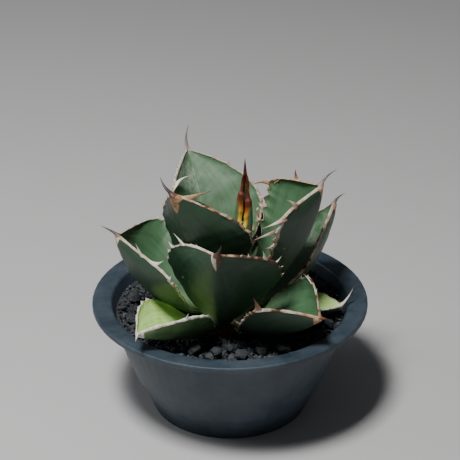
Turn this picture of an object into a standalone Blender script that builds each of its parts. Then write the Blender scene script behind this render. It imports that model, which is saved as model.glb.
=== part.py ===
"""Potted agave: a toothed rosette on a short stem, set in grit in a round pot with a wide rim.

Metres, +Z up.  The origin is the middle of the pot's underside, where the pot stands, and -Y is the front.
Everything is turned, lofted or grown from the sizes below; nothing moves.
"""
import math
import random

import bmesh
import bpy
from mathutils import Matrix, Vector

MM = 0.001                      # the leaf, bud and stone rows below give lengths in millimetres
GAP = 0.0003                    # clearance kept between pieces that touch

# Pot: one turned piece with a flat, slightly dished rim.
RIM_RADIUS = 0.0800             # outside of the lip
RIM_WIDTH = 0.0114              # lip to the inner edge of the rim
RIM_DISH = 0.0011               # how much lower the inner edge lies
LIP_HEIGHT = 0.0034             # height of the lip's outer face
LIP_BEVEL = 0.0010              # bevel along both edges of the lip
INNER_EDGE_BEVEL = 0.0008       # bevel where the rim meets the inner wall
POT_HEIGHT = 0.0680
POT_WALL = 0.0026
POT_SHOULDER = 0.0026           # how far the wall flares out just under the rim
WALL_CURVE = 0.72               # 1 would be a straight cone; less bellies the wall out
WALL_STEPS = 8
FOOT_RADIUS = 0.0460
FOOT_RING_WIDTH = 0.0090        # flat ring that the pot stands on
FOOT_RECESS = 0.0015            # the floor inside the ring is this much off the ground
FLOOR_THICKNESS = 0.0030
POT_SEGMENTS = 64
DRAIN_RADIUS = 0.0035
DRAIN_COUNT = 5
DRAIN_CIRCLE = 0.0240
DRAIN_SEGMENTS = 16

# Potting mix: fills the pot to under the rim and dips towards the plant.
MIX_BELOW_RIM = 0.0060
MIX_DIP = 0.0045
MIX_DIP_RADIUS = 0.0400         # inside this radius the mix is at its lowest
MIX_SLOPE_STEPS = 5

# Stem: a short woody stock, its lower end buried in the mix.
STEM_X = -0.0030                # the plant stands a little in front of the pot's middle
STEM_Y = -0.0140
STEM_RADIUS = 0.0110            # at the surface of the mix
STEM_TOP_RADIUS = 0.0080
STEM_ABOVE = 0.0300             # height above the mix
STEM_BELOW = 0.0260             # depth of the buried taper
STEM_END_RADIUS = 0.0040
STEM_WAIST_RADIUS = 0.0103      # where the buried taper begins
STEM_WAIST_DEPTH = 0.0104
STEM_SHOULDER = 0.0045          # height above the mix where the stem starts to narrow
STEM_SEGMENTS = 24

# Leaves: how thick they are, and how a spine and a tooth are made.
ROOT_CLEARANCE = 0.0018         # stem surface to the root of a leaf's upper face
KEEL_AT_ROOT = 0.0052           # thickness down the middle of a leaf
KEEL_AT_TIP = 0.0026
MARGIN_THICKNESS = 0.0011
KEEL_FULLNESS = 1.6             # above 1 keeps the leaf thick further out from its middle
WIDENING = 1.2                  # above 1 makes a leaf leave the stem narrower
SPINE_RADIUS = 0.0014           # half width of the blade where the end spine starts
ROOT_FOLD = 0.30                # share of a leaf's fold that it has at the root
FOLD_REACH = 0.30               # share of the length over which the fold opens out
LEAF_ROWS = 12
LEAF_COLUMNS = (-1.0, -0.68, -0.32, 0.0, 0.32, 0.68, 1.0)
SPINE_ROWS = 3
TOOTH_SHOULDER = 0.38           # where a tooth narrows, as a share of its length
TOOTH_NECK = 0.42               # its width there, as a share of its base
LEAF_CREASE_DEGREES = 50        # edges sharper than these stay sharp in the smooth shading
STONE_CREASE_DEGREES = 20
MIX_CREASE_DEGREES = 60
POT_CREASE_DEGREES = 35

# One row a leaf.  Lengths are in millimetres and angles in degrees.
#   azimuth, level    where it leaves the stem: round from +X, and above the mix in root thicknesses
#   length, half      length of the blade, and half its width at the widest place
#   widest            where it is widest, as a share of the length
#   rise              slope above level at the root and at the tip
#   swing, twist      how far the tip has turned round the stem, and about its own middle
#   fold              how far the left and the right half are folded up, looking along the leaf
#   tip_fold          the fold at the tip as a multiple of the fold at the root
#   point             shape of the upper outline: below 2 is straighter, above 2 is rounder
#   spine             length of the end spine, its lean to the upper face, and its lean to the left
#   left, right       teeth: place along the margin as a share, length, and lean to the tip
LEAVES = (
    dict(name="leaf_front_left_low", azimuth=225, level=1.154, length=58, half=25, widest=0.49,
         rise=(8, 28), swing=2, twist=-4, fold=(58, 34), tip_fold=1.19, point=2.1, root=4.5,
         spine=(7, -45, 20),
         left=((0.38, 4, 20), (0.62, 2, 0), (0.80, 2, 0)),
         right=((0.40, 2, 0), (0.60, 2, 0), (0.80, 2, 0))),
    dict(name="leaf_front_right_low", azimuth=318, level=1.346, length=61, half=32, widest=0.67,
         rise=(4, 43), swing=4, twist=-19, fold=(70, 33), tip_fold=1.14, point=2.4, root=4.5,
         spine=(10, -35, -15),
         left=((0.45, 3, 10), (0.72, 8, 35), (0.88, 2, 0)),
         right=((0.26, 7, -10), (0.50, 2, 0), (0.72, 2, 0))),
    dict(name="leaf_right_low", azimuth=3, level=1.058, length=55, half=17, widest=0.60,
         rise=(1, 11), swing=1, twist=10, fold=(10, 48), tip_fold=1.04, point=2.2, root=3.8,
         spine=(15, 50, 10),
         left=((0.45, 2, 0), (0.72, 2, 0)),
         right=((0.45, 2, 0), (0.72, 2, 0))),
    dict(name="leaf_back_low", azimuth=91, level=1.538, length=58, half=17, widest=0.58,
         rise=(8, 30), swing=0, twist=0, fold=(36, 36), tip_fold=1, point=2.1, root=4.5,
         spine=(9, 10, 0),
         left=((0.35, 3, 0), (0.55, 3, 10), (0.75, 2, 10)),
         right=((0.40, 3, 0), (0.60, 3, 10), (0.80, 2, 10))),
    dict(name="leaf_back_left_low", azimuth=145, level=1.346, length=46, half=17, widest=0.58,
         rise=(0, 35), swing=0, twist=-2, fold=(26, 36), tip_fold=1, point=2.1, root=4.5,
         spine=(8, 10, 0),
         left=((0.35, 3, 0), (0.55, 3, 10), (0.75, 2, 10)),
         right=((0.40, 3, 0), (0.60, 3, 10), (0.80, 2, 10))),
    dict(name="leaf_left", azimuth=177, level=2.404, length=71, half=43, widest=0.65,
         rise=(8, 81), swing=13, twist=6, fold=(51, 70), tip_fold=0.6, point=2.1, root=5,
         spine=(14, -50, 0),
         left=((0.40, 3, 0), (0.56, 3, 0), (0.70, 9, 20), (0.86, 6, 50)),
         right=((0.45, 3, 0), (0.60, 3, 0), (0.74, 3, 0), (0.86, 3, 10))),
    dict(name="leaf_front", azimuth=263, level=2.115, length=69, half=37, widest=0.51,
         rise=(51, 68), swing=6, twist=-11, fold=(34, 38), tip_fold=1.37, point=2.2, root=5.5,
         spine=(12, -5, 15),
         left=((0.45, 3, 0), (0.62, 4, 0), (0.74, 4, 10), (0.86, 4, 10)),
         right=((0.45, 3, 0), (0.62, 6, 10), (0.74, 7, 10), (0.88, 3, 10))),
    dict(name="leaf_right_back", azimuth=28, level=2.308, length=84, half=26, widest=0.53,
         rise=(-2, 77), swing=9, twist=-20, fold=(25, 40), tip_fold=1.2, point=1.7, root=4.5,
         spine=(13, -40, 0),
         left=((0.45, 3, 0), (0.65, 3, 10), (0.82, 3, 10)),
         right=((0.30, 3, 0), (0.50, 5, 0), (0.66, 3, 0), (0.82, 3, 10))),
    dict(name="leaf_back", azimuth=76, level=2.885, length=60, half=23, widest=0.60,
         rise=(45, 61), swing=1, twist=1, fold=(38, 34), tip_fold=0.99, point=2.1, root=4.5,
         spine=(9, -20, 0),
         left=((0.40, 4, 0), (0.56, 4, 10), (0.72, 5, 10), (0.86, 3, 10)),
         right=((0.40, 4, 0), (0.56, 4, 10), (0.72, 5, 10), (0.86, 3, 10))),
    dict(name="leaf_right", azimuth=3, level=3.654, length=82, half=35, widest=0.79,
         rise=(35, 82), swing=4, twist=-8, fold=(64, 52), tip_fold=0.96, point=2.5, root=5.5,
         spine=(16, -35, -5),
         left=((0.50, 4, 0), (0.66, 7, -10), (0.80, 8, -20), (0.90, 4, 0)),
         right=((0.44, 5, 10), (0.56, 9, 10), (0.70, 9, 0), (0.85, 6, 10))),
    dict(name="leaf_front_left", azimuth=233, level=4.327, length=79, half=33, widest=0.55,
         rise=(69, 70), swing=-23, twist=8, fold=(60, 23), tip_fold=0.89, point=1.6, root=5.5,
         spine=(15, 10, -55),
         left=((0.50, 3, 0), (0.68, 3, 0), (0.80, 3, 0), (0.90, 9, -20)),
         right=((0.42, 2, 0), (0.72, 3, 0), (0.86, 2, 0))),
    dict(name="leaf_back_left", azimuth=111, level=4.712, length=78, half=33, widest=0.52,
         rise=(65, 43), swing=3, twist=-3, fold=(54, 28), tip_fold=1.04, point=1.8, root=5.5,
         spine=(17, 20, -20),
         left=((0.45, 4, 0), (0.62, 11, 50), (0.82, 3, 0)),
         right=((0.42, 7, -10), (0.54, 7, 0), (0.66, 4, 0), (0.80, 3, 0))),
)

COLORS = {
    "pot": ((0.105, 0.125, 0.150), 0.62),
    "mix": ((0.020, 0.020, 0.022), 0.90),
    "stem": ((0.160, 0.120, 0.070), 0.85),
    "leaf": ((0.085, 0.160, 0.100), 0.45),
    "old_leaf": ((0.300, 0.400, 0.160), 0.50),
}

# Bud: the youngest leaves, still closed round each other on top of the stem.
BUD_ABOVE_STEM = 0.0010         # stem top to the root of the bud
BUD_ROOT_RADIUS = 0.0058
BUD_HALF_WIDTH_AT_ROOT = 4.0    # millimetres, as in the rows
BUD_LEAN_X = 0.0112             # how far the bud's tip leans from straight above the stem
BUD_LEAN_Y = 0.0040
BUD_KEEL = 0.0018
BUD = (
    dict(name="bud_leaf_back", azimuth=85, length=60, half=5.2, widest=0.35, rise=(88, 99), spine=14),
    dict(name="bud_leaf_left", azimuth=205, length=52, half=4.5, widest=0.35, rise=(88, 100), spine=9),
    dict(name="bud_leaf_right", azimuth=325, length=48, half=5.0, widest=0.35, rise=(88, 100), spine=10),
)
BUD_FOLD = (58, 58)
BUD_POINT = 1.3

# Gravel: the larger stones that lie loose on the mix.  Azimuth, distance in from the pot wall and
# mean radius, the last two in millimetres.
STONES = (
    (262, 13, 4.2), (276, 10, 3.6), (289, 14, 4.0), (249, 12, 3.4), (301, 9, 3.5), (238, 8, 3.0),
    (270, 22, 3.0), (196, 9, 3.8), (184, 13, 3.2), (206, 17, 3.4), (171, 9, 3.3), (8, 8, 4.0),
    (22, 10, 3.4), (337, 6, 3.0), (48, 12, 3.8), (75, 9, 3.5), (110, 10, 3.8), (138, 9, 3.6),
)
STONE_ROUGHNESS = 0.22
STONE_LENGTH = (0.85, 1.35)     # stretch of a stone along, across and up, as shares of its radius
STONE_BREADTH = (0.80, 1.10)
STONE_HEIGHT = (0.60, 0.85)
STONE_SEED = 7


def clear_scene():
    """Start from an empty scene."""
    for obj in list(bpy.data.objects):
        bpy.data.objects.remove(obj, do_unlink=True)


def material(name):
    """Principled material, made once for each finish."""
    found = bpy.data.materials.get(name)
    if found:
        return found
    color, roughness = COLORS[name]
    made = bpy.data.materials.new(name)
    made.use_nodes = True
    shader = made.node_tree.nodes["Principled BSDF"]
    shader.inputs["Base Color"].default_value = (*color, 1.0)
    shader.inputs["Roughness"].default_value = roughness
    shader.inputs["Metallic"].default_value = 0.0
    return made


def add_object(name, bm, finish, crease_degrees):
    """Turn a bmesh into a named, smooth-shaded object with its finish."""
    bmesh.ops.recalc_face_normals(bm, faces=bm.faces)
    mesh = bpy.data.meshes.new(name)
    bm.to_mesh(mesh)
    bm.free()
    mesh.shade_smooth()
    mesh.set_sharp_from_angle(angle=math.radians(crease_degrees))
    obj = bpy.data.objects.new(name, mesh)
    bpy.context.collection.objects.link(obj)
    obj.data.materials.append(material(finish))
    return obj


def loft(bm, rings):
    """Skin closed rings of points, in order; a ring of one point closes the skin there."""
    made = [[bm.verts.new(point) for point in ring] for ring in rings]
    for lower, upper in zip(made, made[1:]):
        count = max(len(lower), len(upper))
        for i in range(count):
            j = (i + 1) % count
            corners = [lower[i % len(lower)], lower[j % len(lower)]]
            corners += [upper[j % len(upper)], upper[i % len(upper)]]
            bm.faces.new(list(dict.fromkeys(corners)))
    return made


def turned(bm, profile, segments, center=(0.0, 0.0)):
    """Revolve (radius, z) points about a vertical axis; the first and last lie on the axis."""
    x, y = center
    turns = [math.tau * i / segments for i in range(segments)]
    rings = []
    for radius, z in profile:
        if radius == 0.0:
            rings.append([Vector((x, y, z))])
        else:
            rings.append([Vector((x + radius * math.cos(t), y + radius * math.sin(t), z)) for t in turns])
    return loft(bm, rings)


def smoothstep(value):
    """0 below 0, 1 above 1, and a smooth rise between."""
    value = min(max(value, 0.0), 1.0)
    return value * value * (3.0 - 2.0 * value)


# ---------------------------------------------------------------- pot and mix

RIM_INNER_RADIUS = RIM_RADIUS - RIM_WIDTH
RIM_EDGE_Z = POT_HEIGHT - RIM_DISH
FLOOR_TOP = FOOT_RECESS + FLOOR_THICKNESS
MIX_EDGE_Z = RIM_EDGE_Z - MIX_BELOW_RIM


def wall_inner_radius(z):
    """Inside radius of the pot at height z above its foot."""
    share = min(max((z - FLOOR_TOP) / (RIM_EDGE_Z - FLOOR_TOP), 0.0), 1.0)
    low = FOOT_RADIUS - POT_WALL
    high = RIM_INNER_RADIUS
    return low + (high - low) * share ** WALL_CURVE


def mix_height(radius):
    """Height of the mix's surface at a distance from the pot's axis."""
    wall = wall_inner_radius(MIX_EDGE_Z)
    share = (radius - MIX_DIP_RADIUS) / (wall - MIX_DIP_RADIUS)
    return MIX_EDGE_Z - MIX_DIP * (1.0 - smoothstep(share))


MIX_LOW = mix_height(0.0)


def wall_levels():
    """Heights of the steps in the pot's inner wall, from the floor to the edge of the mix."""
    return [FLOOR_TOP + (MIX_EDGE_Z - FLOOR_TOP) * (i / WALL_STEPS) for i in range(WALL_STEPS + 1)]


def build_pot():
    """Turn the pot from its section, foot to rim to floor, and drill its drain holes."""
    under_rim = POT_HEIGHT - LIP_HEIGHT
    neck = under_rim - POT_SHOULDER
    outside = [neck * (i / WALL_STEPS) for i in range(1, WALL_STEPS + 1)]
    foot_inside = FOOT_RADIUS - FOOT_RING_WIDTH
    half_bevel = 0.3 * LIP_BEVEL
    profile = [
        (0.0, FOOT_RECESS),
        (foot_inside - FOOT_RECESS, FOOT_RECESS),
        (foot_inside, 0.0),
        (FOOT_RADIUS, 0.0),
        *((wall_inner_radius(z) + POT_WALL, z) for z in outside),
        (RIM_INNER_RADIUS + POT_WALL + POT_SHOULDER, under_rim),
        (RIM_RADIUS - LIP_BEVEL, under_rim),
        (RIM_RADIUS, under_rim + LIP_BEVEL),
        (RIM_RADIUS, POT_HEIGHT - LIP_BEVEL),
        (RIM_RADIUS - half_bevel, POT_HEIGHT - half_bevel),
        (RIM_RADIUS - LIP_BEVEL, POT_HEIGHT),
        (RIM_INNER_RADIUS + INNER_EDGE_BEVEL, RIM_EDGE_Z),
        (RIM_INNER_RADIUS, RIM_EDGE_Z - INNER_EDGE_BEVEL),
        *((wall_inner_radius(z), z) for z in reversed(wall_levels())),
        (0.0, FLOOR_TOP),
    ]
    bm = bmesh.new()
    turned(bm, profile, POT_SEGMENTS)
    pot = add_object("pot", bm, "pot", POT_CREASE_DEGREES)

    drains = bmesh.new()
    for i in range(DRAIN_COUNT):
        turn = math.tau * i / DRAIN_COUNT
        x, y = DRAIN_CIRCLE * math.cos(turn), DRAIN_CIRCLE * math.sin(turn)
        place = Matrix.Translation((x, y, FLOOR_TOP / 2))
        bmesh.ops.create_cone(drains, cap_ends=True, segments=DRAIN_SEGMENTS, radius1=DRAIN_RADIUS,
                              radius2=DRAIN_RADIUS, depth=2.0 * FLOOR_TOP, matrix=place)
    cut(pot, add_object("drain_cutter", drains, "pot", POT_CREASE_DEGREES))


def cut(target, cutter):
    """Take the cutter away from the target and leave the cutter as a hidden guide."""
    cutter.hide_render = True
    cutter.display_type = "WIRE"
    modifier = target.modifiers.new("cut_" + cutter.name, "BOOLEAN")
    modifier.operation = "DIFFERENCE"
    modifier.object = cutter


def stem_profile(clearance):
    """Radius and height points of the stem, grown by a clearance all round."""
    top = MIX_LOW + STEM_ABOVE
    bottom = MIX_LOW - STEM_BELOW
    return [
        (0.0, bottom - clearance),
        (STEM_END_RADIUS + clearance, bottom - clearance),
        (STEM_WAIST_RADIUS + clearance, MIX_LOW - STEM_WAIST_DEPTH),
        (STEM_RADIUS + clearance, MIX_LOW),
        (STEM_RADIUS + clearance, MIX_LOW + STEM_SHOULDER),
        (STEM_TOP_RADIUS + clearance, top + clearance),
        (0.0, top + clearance),
    ]


def build_mix():
    """Fill the pot to its wall, with a gap, and leave the hole that the stem stands in."""
    profile = [(0.0, FLOOR_TOP + GAP), (wall_inner_radius(FLOOR_TOP) - GAP, FLOOR_TOP + GAP)]
    profile += [(wall_inner_radius(z) - GAP, z) for z in wall_levels()[1:]]
    edge = wall_inner_radius(MIX_EDGE_Z) - GAP
    slope = [edge + (MIX_DIP_RADIUS - edge) * (i / MIX_SLOPE_STEPS) for i in range(1, MIX_SLOPE_STEPS + 1)]
    profile += [(radius, mix_height(radius)) for radius in slope]
    profile += [(0.0, MIX_LOW)]
    bm = bmesh.new()
    turned(bm, profile, POT_SEGMENTS)
    mix = add_object("potting_mix", bm, "mix", MIX_CREASE_DEGREES)
    hole = bmesh.new()
    turned(hole, stem_profile(GAP), STEM_SEGMENTS, (STEM_X, STEM_Y))
    cut(mix, add_object("stem_cutter", hole, "mix", MIX_CREASE_DEGREES))


def build_stem():
    """Turn the stem about its own axis."""
    bm = bmesh.new()
    turned(bm, stem_profile(0.0), STEM_SEGMENTS, (STEM_X, STEM_Y))
    add_object("stem", bm, "stem", POT_CREASE_DEGREES)


# ---------------------------------------------------------------- leaves

def stem_radius(height):
    """Radius of the stem at a height above the mix."""
    share = min(max(height / STEM_ABOVE, 0.0), 1.0)
    return STEM_RADIUS + (STEM_TOP_RADIUS - STEM_RADIUS) * share


def midrib(leaf, rows):
    """Points down the middle of the leaf, each with its directions: along, left and upper face."""
    azimuth = math.radians(leaf["azimuth"])
    height = leaf["level"] * KEEL_AT_ROOT
    reach = leaf.get("root_radius", stem_radius(height) + ROOT_CLEARANCE)
    start = Vector((STEM_X + reach * math.cos(azimuth), STEM_Y + reach * math.sin(azimuth), MIX_LOW + height))
    rise = [math.radians(angle) for angle in leaf["rise"]]
    lean = Vector((*leaf.get("lean", (0.0, 0.0)), 0.0))
    stations = []
    point = start.copy()
    before = None
    for i in range(rows + 1):
        share = i / rows
        slope = rise[0] + (rise[1] - rise[0]) * share
        turn = azimuth + math.radians(leaf["swing"]) * share
        along = Vector((math.cos(slope) * math.cos(turn), math.cos(slope) * math.sin(turn), math.sin(slope)))
        level = Vector((-math.sin(turn), math.cos(turn), 0.0))
        face = along.cross(level)
        twist = math.radians(leaf["twist"]) * share
        left = level * math.cos(twist) + face * math.sin(twist)
        upper = face * math.cos(twist) - level * math.sin(twist)
        if before is not None:
            point = point + (before + along) * 0.5 * (leaf["length"] * MM / rows)
        leaned = lean * share * (2.0 - share)
        stations.append((point + leaned, along, left, upper))
        before = along
    return stations


def half_width(leaf, share):
    """Half the width of the blade, measured along its upper face."""
    root = leaf["root"] * MM
    widest = leaf["half"] * MM
    if share < leaf["widest"]:
        return root + (widest - root) * math.sin(0.5 * math.pi * share / leaf["widest"]) ** WIDENING
    beyond = (share - leaf["widest"]) / (1.0 - leaf["widest"])
    return SPINE_RADIUS + (widest - SPINE_RADIUS) * (1.0 - beyond ** leaf["point"])


def across(leaf, share, column):
    """Where a column lies across the leaf: sideways, up, and the slope of the blade there."""
    side = 0 if column > 0 else 1
    opening = ROOT_FOLD + (1.0 - ROOT_FOLD) * smoothstep(share / FOLD_REACH)
    fold = math.radians(leaf["fold"][side]) * (1.0 + (leaf["tip_fold"] - 1.0) * share) * opening
    out = abs(column)
    slope = 0.5 * fold * (1.0 + out)
    width = half_width(leaf, share)
    sideways = width * (math.sin(slope) - math.sin(0.5 * fold)) / (0.5 * fold)
    up = width * (math.cos(0.5 * fold) - math.cos(slope)) / (0.5 * fold)
    return math.copysign(sideways, column), up, math.copysign(slope, column)


def thickness(leaf, share, column):
    """Thick down the middle, thin at the margins, and thinner towards the tip."""
    keel = leaf.get("keel", KEEL_AT_ROOT)
    middle = keel + (min(keel, KEEL_AT_TIP) - keel) * share
    return MARGIN_THICKNESS + (middle - MARGIN_THICKNESS) * (1.0 - abs(column) ** KEEL_FULLNESS)


def leaf_rings(leaf):
    """Closed rings from the root to the point of the spine, and at each row which way each margin faces.

    A ring runs over the upper face from right to left, then under the leaf and back.
    """
    rings = []
    margins = []
    stations = midrib(leaf, LEAF_ROWS)
    for i, (point, along, left, upper) in enumerate(stations):
        share = i / LEAF_ROWS
        over, under = [], []
        for column in LEAF_COLUMNS:
            sideways, up, slope = across(leaf, share, column)
            place = point + left * sideways + upper * up
            out = left * math.sin(slope) - upper * math.cos(slope)
            over.append(place)
            under.append(place + out * thickness(leaf, share, column))
        rings.append(over + under[::-1])
        left_slope = across(leaf, share, 1.0)[2]
        right_slope = across(leaf, share, -1.0)[2]
        left_out = left * math.cos(left_slope) + upper * math.sin(left_slope)
        right_out = upper * math.sin(-right_slope) - left * math.cos(right_slope)
        margins.append((along, left_out, right_out))
    length = leaf["spine"][0] * MM
    lift = math.radians(leaf["spine"][1])
    side = math.radians(leaf["spine"][2])
    _, along, left, upper = stations[-1]
    level_way = along * math.cos(side) + left * math.sin(side)
    tip_way = level_way * math.cos(lift) + upper * math.sin(lift)
    last = rings[-1]
    middle = sum(last, Vector()) / len(last)
    for i in range(1, SPINE_ROWS + 1):
        share = i / SPINE_ROWS
        center = middle + (along * (1.0 - share) + tip_way * share) * (length * share)
        if i == SPINE_ROWS:
            rings.append([center])
        else:
            rings.append([center + (place - middle) * (1.0 - share) for place in last])
    return rings, margins


def add_tooth(bm, rings, margins, side, tooth):
    """Raise one tooth from the margin face that lies at its place."""
    place, length, lean = tooth
    row = min(int(place * LEAF_ROWS), LEAF_ROWS - 2)
    columns = len(LEAF_COLUMNS)
    edge = (columns - 1, columns) if side == "left" else (0, 2 * columns - 1)
    base = [rings[row][edge[0]], rings[row + 1][edge[0]], rings[row + 1][edge[1]], rings[row][edge[1]]]
    face = bm.faces.get(base)
    along, left_out, right_out = margins[row]
    out = left_out if side == "left" else right_out
    lean = math.radians(lean)
    way = (out * math.cos(lean) + along * math.sin(lean)).normalized()
    middle = face.calc_center_median()
    bm.faces.remove(face)
    reach = way * length * MM
    neck = middle + reach * TOOTH_SHOULDER
    shoulder = [bm.verts.new(neck + (v.co - middle) * TOOTH_NECK) for v in base]
    tip = bm.verts.new(middle + reach)
    for i in range(4):
        j = (i + 1) % 4
        bm.faces.new((base[i], base[j], shoulder[j], shoulder[i]))
        bm.faces.new((shoulder[i], shoulder[j], tip))


def build_leaf(leaf, finish):
    """Loft one leaf with its end spine, close its root, and raise its teeth."""
    bm = bmesh.new()
    rings, margins = leaf_rings(leaf)
    made = loft(bm, rings)
    columns = len(LEAF_COLUMNS)
    root = made[0]
    for i in range(columns - 1):
        bm.faces.new((root[i], root[i + 1], root[2 * columns - 2 - i], root[2 * columns - 1 - i]))
    for side in ("left", "right"):
        for tooth in leaf.get(side, ()):
            add_tooth(bm, made, margins, side, tooth)
    add_object(leaf["name"], bm, finish, LEAF_CREASE_DEGREES)


def build_bud():
    """Stand the youngest leaves on top of the stem, folded round each other."""
    for row in BUD:
        leaf = dict(row)
        leaf.update(level=(STEM_ABOVE + BUD_ABOVE_STEM) / KEEL_AT_ROOT, root_radius=BUD_ROOT_RADIUS)
        leaf.update(swing=0, twist=0, fold=BUD_FOLD, tip_fold=1.0)
        leaf.update(point=BUD_POINT, root=BUD_HALF_WIDTH_AT_ROOT, keel=BUD_KEEL)
        leaf.update(spine=(row["spine"], 0, 0), lean=(BUD_LEAN_X, BUD_LEAN_Y))
        build_leaf(leaf, "leaf")


# ---------------------------------------------------------------- gravel

def build_stones():
    """Set each stone on the mix, its lowest point just clear of it."""
    rng = random.Random(STONE_SEED)
    for number, (azimuth, inset, radius) in enumerate(STONES, 1):
        bm = bmesh.new()
        bmesh.ops.create_icosphere(bm, subdivisions=1, radius=radius * MM)
        stretch = Vector(rng.uniform(*limits) for limits in (STONE_LENGTH, STONE_BREADTH, STONE_HEIGHT))
        spin = Matrix.Rotation(rng.uniform(0.0, math.tau), 3, "Z")
        for vert in bm.verts:
            bump = 1.0 + rng.uniform(-STONE_ROUGHNESS, STONE_ROUGHNESS)
            vert.co = spin @ Vector(c * s * bump for c, s in zip(vert.co, stretch))
        reach = wall_inner_radius(MIX_EDGE_Z) - inset * MM
        turn = math.radians(azimuth)
        bmesh.ops.translate(bm, verts=bm.verts, vec=(reach * math.cos(turn), reach * math.sin(turn), 0.0))
        lowest = min(v.co.z - mix_height(math.hypot(v.co.x, v.co.y)) for v in bm.verts)
        bmesh.ops.translate(bm, verts=bm.verts, vec=(0.0, 0.0, GAP - lowest))
        add_object("stone_%02d" % number, bm, "mix", STONE_CREASE_DEGREES)


def build():
    """Make every piece."""
    clear_scene()
    build_pot()
    build_mix()
    build_stem()
    for leaf in LEAVES:
        build_leaf(leaf, "old_leaf" if "low" in leaf["name"] else "leaf")
    build_bud()
    build_stones()


build()
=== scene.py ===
"""Potted agave: a toothed rosette of cupped, keeled leaves, growing in black grit in a wide-rimmed pot."""
import math

import bmesh
import bpy
import numpy as np
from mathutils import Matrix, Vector
from mathutils.bvhtree import BVHTree


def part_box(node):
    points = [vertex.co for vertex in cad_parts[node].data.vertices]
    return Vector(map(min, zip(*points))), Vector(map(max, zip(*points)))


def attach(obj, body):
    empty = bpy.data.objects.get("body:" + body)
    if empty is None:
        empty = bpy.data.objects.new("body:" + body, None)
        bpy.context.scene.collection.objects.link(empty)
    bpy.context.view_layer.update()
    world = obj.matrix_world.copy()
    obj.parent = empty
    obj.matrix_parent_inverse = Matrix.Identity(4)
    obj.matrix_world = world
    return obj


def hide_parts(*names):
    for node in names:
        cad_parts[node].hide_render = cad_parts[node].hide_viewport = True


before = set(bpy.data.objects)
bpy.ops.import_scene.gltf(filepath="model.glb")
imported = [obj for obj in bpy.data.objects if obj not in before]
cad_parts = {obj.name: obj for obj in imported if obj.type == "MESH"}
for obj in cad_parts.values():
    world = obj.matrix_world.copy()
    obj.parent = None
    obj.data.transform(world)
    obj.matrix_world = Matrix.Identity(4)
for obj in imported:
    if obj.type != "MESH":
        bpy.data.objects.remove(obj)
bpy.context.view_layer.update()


# ---------------------------------------------------------------- studio table, lamps and camera
# A plain pale table under a soft lamp hung almost overhead, with a weaker one low on the left and a dim room.
# The camera looks down on the pot from the front through a long lens.

def add_node(tree, kind, sockets=None, **settings):
    """Add a shader node.  Each socket gets a value, or is linked if it is given another node's output."""
    node = tree.nodes.new(kind)
    for name, value in settings.items():
        setattr(node, name, value)
    for socket, value in (sockets or {}).items():
        if isinstance(value, bpy.types.NodeSocket):
            tree.links.new(value, node.inputs[socket])
        else:
            node.inputs[socket].default_value = value
    return node


def start_material(name):
    """A new material with nodes: its tree, its Principled shader, and its object coordinates."""
    made = bpy.data.materials.new(name)
    made.use_nodes = True
    tree = made.node_tree
    shader = tree.nodes["Principled BSDF"]
    place = add_node(tree, "ShaderNodeTexCoord").outputs["Object"]
    return made, tree, shader, place


def color_ramp(tree, factor, stops):
    """A ramp through (position, colour) stops; a colour is one grey value or three."""
    ramp = add_node(tree, "ShaderNodeValToRGB", {"Fac": factor})
    band = ramp.color_ramp.elements
    while len(band) < len(stops):
        band.new(0.5)
    for element, (position, color) in zip(band, stops):
        element.position = position
        element.color = (*color, 1.0) if isinstance(color, tuple) else (color, color, color, 1.0)
    return ramp.outputs["Color"]


def blend_colors(tree, factor, first, second, kind="MIX"):
    """Mix two colours, each a value or another node's output."""
    node = add_node(tree, "ShaderNodeMix", {0: factor}, data_type="RGBA", blend_type=kind)
    for socket, color in ((node.inputs[6], first), (node.inputs[7], second)):
        if isinstance(color, bpy.types.NodeSocket):
            tree.links.new(color, socket)
        else:
            socket.default_value = (*color, 1.0)
    return node.outputs[2]


def arithmetic(tree, operation, first, second=0.0, clamp=False):
    """One step of arithmetic on two values or outputs."""
    step = add_node(tree, "ShaderNodeMath", {0: first, 1: second}, operation=operation, use_clamp=clamp)
    return step.outputs[0]


def multiply_add(tree, value, factor, plus):
    """value * factor + plus, each a value or another node's output."""
    step = add_node(tree, "ShaderNodeMath", {0: value, 1: factor, 2: plus}, operation="MULTIPLY_ADD")
    return step.outputs[0]


def finish_bump(tree, shader, height, distance, strength=1.0):
    """Feed a height in shares of a distance in metres to the shader's normal."""
    bump = add_node(tree, "ShaderNodeBump", {"Height": height, "Distance": distance, "Strength": strength})
    tree.links.new(bump.outputs["Normal"], shader.inputs["Normal"])


TABLE_SIZE = 14.0
TABLE_COLOR = (0.50, 0.50, 0.51)
TABLE_CLOUD = 0.94              # the table's darkest cloud, as a share of its colour

table_mesh = bpy.data.meshes.new("table")
half = TABLE_SIZE / 2
table_corners = [(-half, -half, 0), (half, -half, 0), (half, half, 0), (-half, half, 0)]
table_mesh.from_pydata(table_corners, [], [(0, 1, 2, 3)])
table = bpy.data.objects.new("table", table_mesh)
bpy.context.collection.objects.link(table)
table_finish, tree, shader, place = start_material("table_paint")
cloudy = add_node(tree, "ShaderNodeTexNoise", {"Vector": place, "Scale": 3.0, "Detail": 3.0})
darker = tuple(c * TABLE_CLOUD for c in TABLE_COLOR)
tone = blend_colors(tree, cloudy.outputs["Fac"], TABLE_COLOR, darker)
tree.links.new(tone, shader.inputs["Base Color"])
shader.inputs["Roughness"].default_value = 0.75
table.data.materials.append(table_finish)

room = bpy.data.worlds.new("studio_room")
room.use_nodes = True
room.node_tree.nodes["Background"].inputs["Color"].default_value = (0.88, 0.90, 0.92, 1.0)
room.node_tree.nodes["Background"].inputs["Strength"].default_value = 0.085
bpy.context.scene.world = room


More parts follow.
